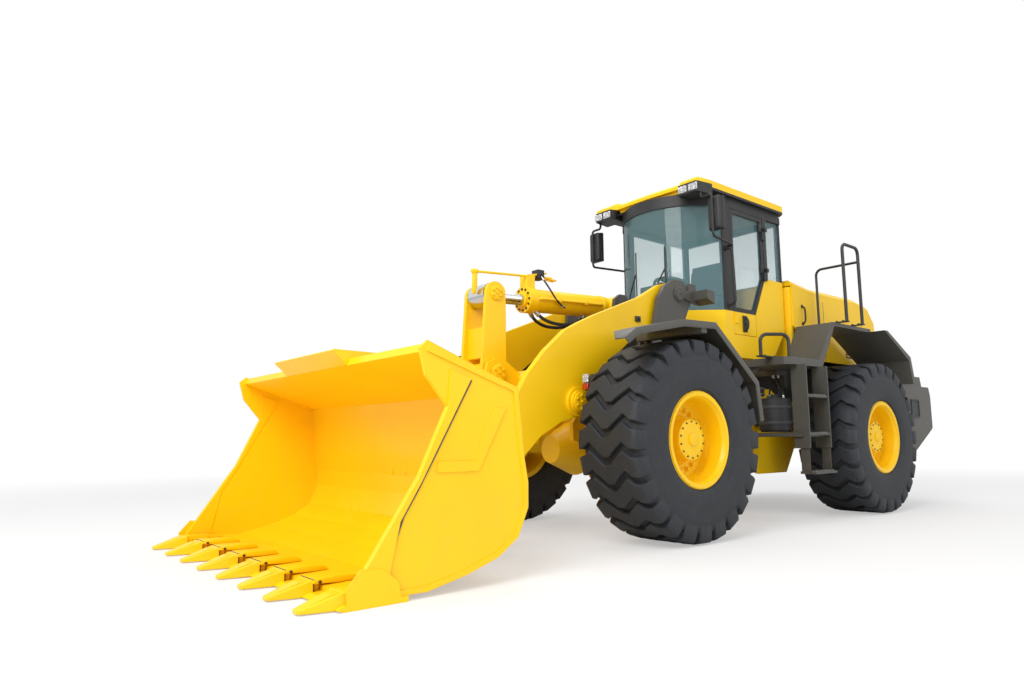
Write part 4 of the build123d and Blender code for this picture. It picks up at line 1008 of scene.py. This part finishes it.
class LOADER_OT_stage(bpy.types.Operator):
    """Floor, sky, lamps and the camera"""
    bl_idname = "loader.stage"
    bl_label = "Stage"

    def execute(self, context):
        self.floor(tuple(context.scene.loader_colours.floor))
        self.sky(context.scene)
        for name, spot, power, size, aim in (("key_lamp", (9.0, 3.5, 7.5), 820, 6.0, (1.5, 0, 1.0)),
                                             ("fill_lamp", (-3.0, 9.5, 5.0), 170, 7.0, (-1, 0, 1.2)),
                                             ("top_lamp", (-1.5, -2.0, 10.0), 320, 8.0, (0, 0, 1.0))):
            lamp = added(name, bpy.ops.object.light_add, type="AREA", location=spot)
            lamp.data.energy, lamp.data.size = power, size
            lamp.rotation_euler = (Vector(aim) - Vector(spot)).to_track_quat("-Z", "Y").to_euler()
        self.camera(context.scene)
        context.scene.view_settings.view_transform = "Standard"
        return {"FINISHED"}

    def floor(self, colour):
        """Pale floor that keeps the machine's shadow and turns to plain white further out."""
        ground = added("studio_floor", bpy.ops.mesh.primitive_plane_add, size=160, location=(0, 0, 0))
        look = Finish("studio_floor")
        look.set(Base_Color=colour, Roughness=0.85)
        glow = look.node("ShaderNodeEmission", {}, {"Color": (1, 1, 1, 1), "Strength": 1.0}, out=None)
        seen = look.node("ShaderNodeLightPath", out="Is Camera Ray")
        spread = look.node("ShaderNodeVectorMath", {"operation": "LENGTH"}, {0: look.spot}, out="Value")
        blend = look.node("ShaderNodeMixShader", {}, {0: seen * (0.42 + spread.step(5.0, 15.0) * 0.58)},
                          out=None)
        look.tree.links.new(look.surface.outputs[0], blend.inputs[1])
        look.tree.links.new(glow.outputs[0], blend.inputs[2])
        look.tree.links.new(blend.outputs[0], look.tree.nodes["Material Output"].inputs[0])
        ground.data.materials.append(look.material)

    def sky(self, scene):
        """White where the camera sees it, also in gloss and through glass, and a little darker as a light."""
        scene.world = bpy.data.worlds.new("studio_sky")
        scene.world.use_nodes = True
        tree = scene.world.node_tree
        tree.nodes.clear()
        paths = tree.nodes.new("ShaderNodeLightPath")
        straight, gloss, through = (Wire(tree, paths.outputs[key])
                                    for key in ("Is Camera Ray", "Is Glossy Ray", "Is Transmission Ray"))
        back = tree.nodes.new("ShaderNodeBackground")
        back.inputs[0].default_value = (1, 1, 1, 1)
        tree.links.new((straight.most(gloss).most(through) * 0.38 + 0.62).socket, back.inputs[1])
        output = tree.nodes.new("ShaderNodeOutputWorld")
        tree.links.new(back.outputs[0], output.inputs[0])

    def camera(self, scene):
        """The photograph's camera, from its heading, pitch and roll."""
        heading, pitch, roll = radians(CAMERA_HEADING), radians(CAMERA_PITCH), radians(CAMERA_ROLL)
        ahead = Vector((cos(pitch) * cos(heading), cos(pitch) * sin(heading), sin(pitch)))
        right = ahead.cross(Vector(UP)).normalized()
        up = right.cross(ahead)
        side, top = right * cos(roll) + up * sin(roll), up * cos(roll) - right * sin(roll)
        camera = added("photo_camera", bpy.ops.object.camera_add, location=TO_ROW_FRAME @ Vector(CAMERA_SPOT))
        camera.rotation_euler = Matrix((side, top, -ahead)).transposed().to_euler()
        camera.data.sensor_width, camera.data.lens = 36.0, 36.0 * FOCAL_PIXELS / PHOTO_WIDTH
        camera.data.shift_x, camera.data.shift_y = SHIFT_RIGHT / PHOTO_WIDTH, SHIFT_UP / PHOTO_WIDTH
        camera.data.clip_start, camera.data.clip_end = 0.05, 400
        scene.camera = camera


class LOADER_PT_panel(bpy.types.Panel):
    """Lists the steps in the sidebar"""
    bl_label = "Loader"
    bl_idname = "LOADER_PT_panel"
    bl_space_type = "VIEW_3D"
    bl_region_type = "UI"
    bl_category = "Loader"

    def draw(self, context):
        for group in (context.scene.loader_sizes, context.scene.loader_colours):
            for key in group.__annotations__:
                self.layout.prop(group, key)
        for step in STEPS:
            self.layout.operator(step.bl_idname)


STEPS = (LOADER_OT_finishes, LOADER_OT_tyres, LOADER_OT_wheel_fittings, LOADER_OT_bucket, LOADER_OT_pins,
         LOADER_OT_hydraulics, LOADER_OT_level_bar, LOADER_OT_fenders, LOADER_OT_cab, LOADER_OT_seat,
         LOADER_OT_lamps, LOADER_OT_decks, LOADER_OT_hood, LOADER_OT_frame, LOADER_OT_stage)
CLASSES = (LoaderSizes, LoaderColours) + STEPS + (LOADER_PT_panel,)


def register():
    for entry in CLASSES:
        bpy.utils.register_class(entry)
    bpy.types.Scene.loader_sizes = bpy.props.PointerProperty(type=LoaderSizes)
    bpy.types.Scene.loader_colours = bpy.props.PointerProperty(type=LoaderColours)


def unregister():
    del bpy.types.Scene.loader_colours, bpy.types.Scene.loader_sizes
    for entry in reversed(CLASSES):
        bpy.utils.unregister_class(entry)


def main():
    register()
    for step in STEPS:
        group, name = step.bl_idname.split(".")
        getattr(getattr(bpy.ops, group), name)()


if __name__ == "__main__":
    main()
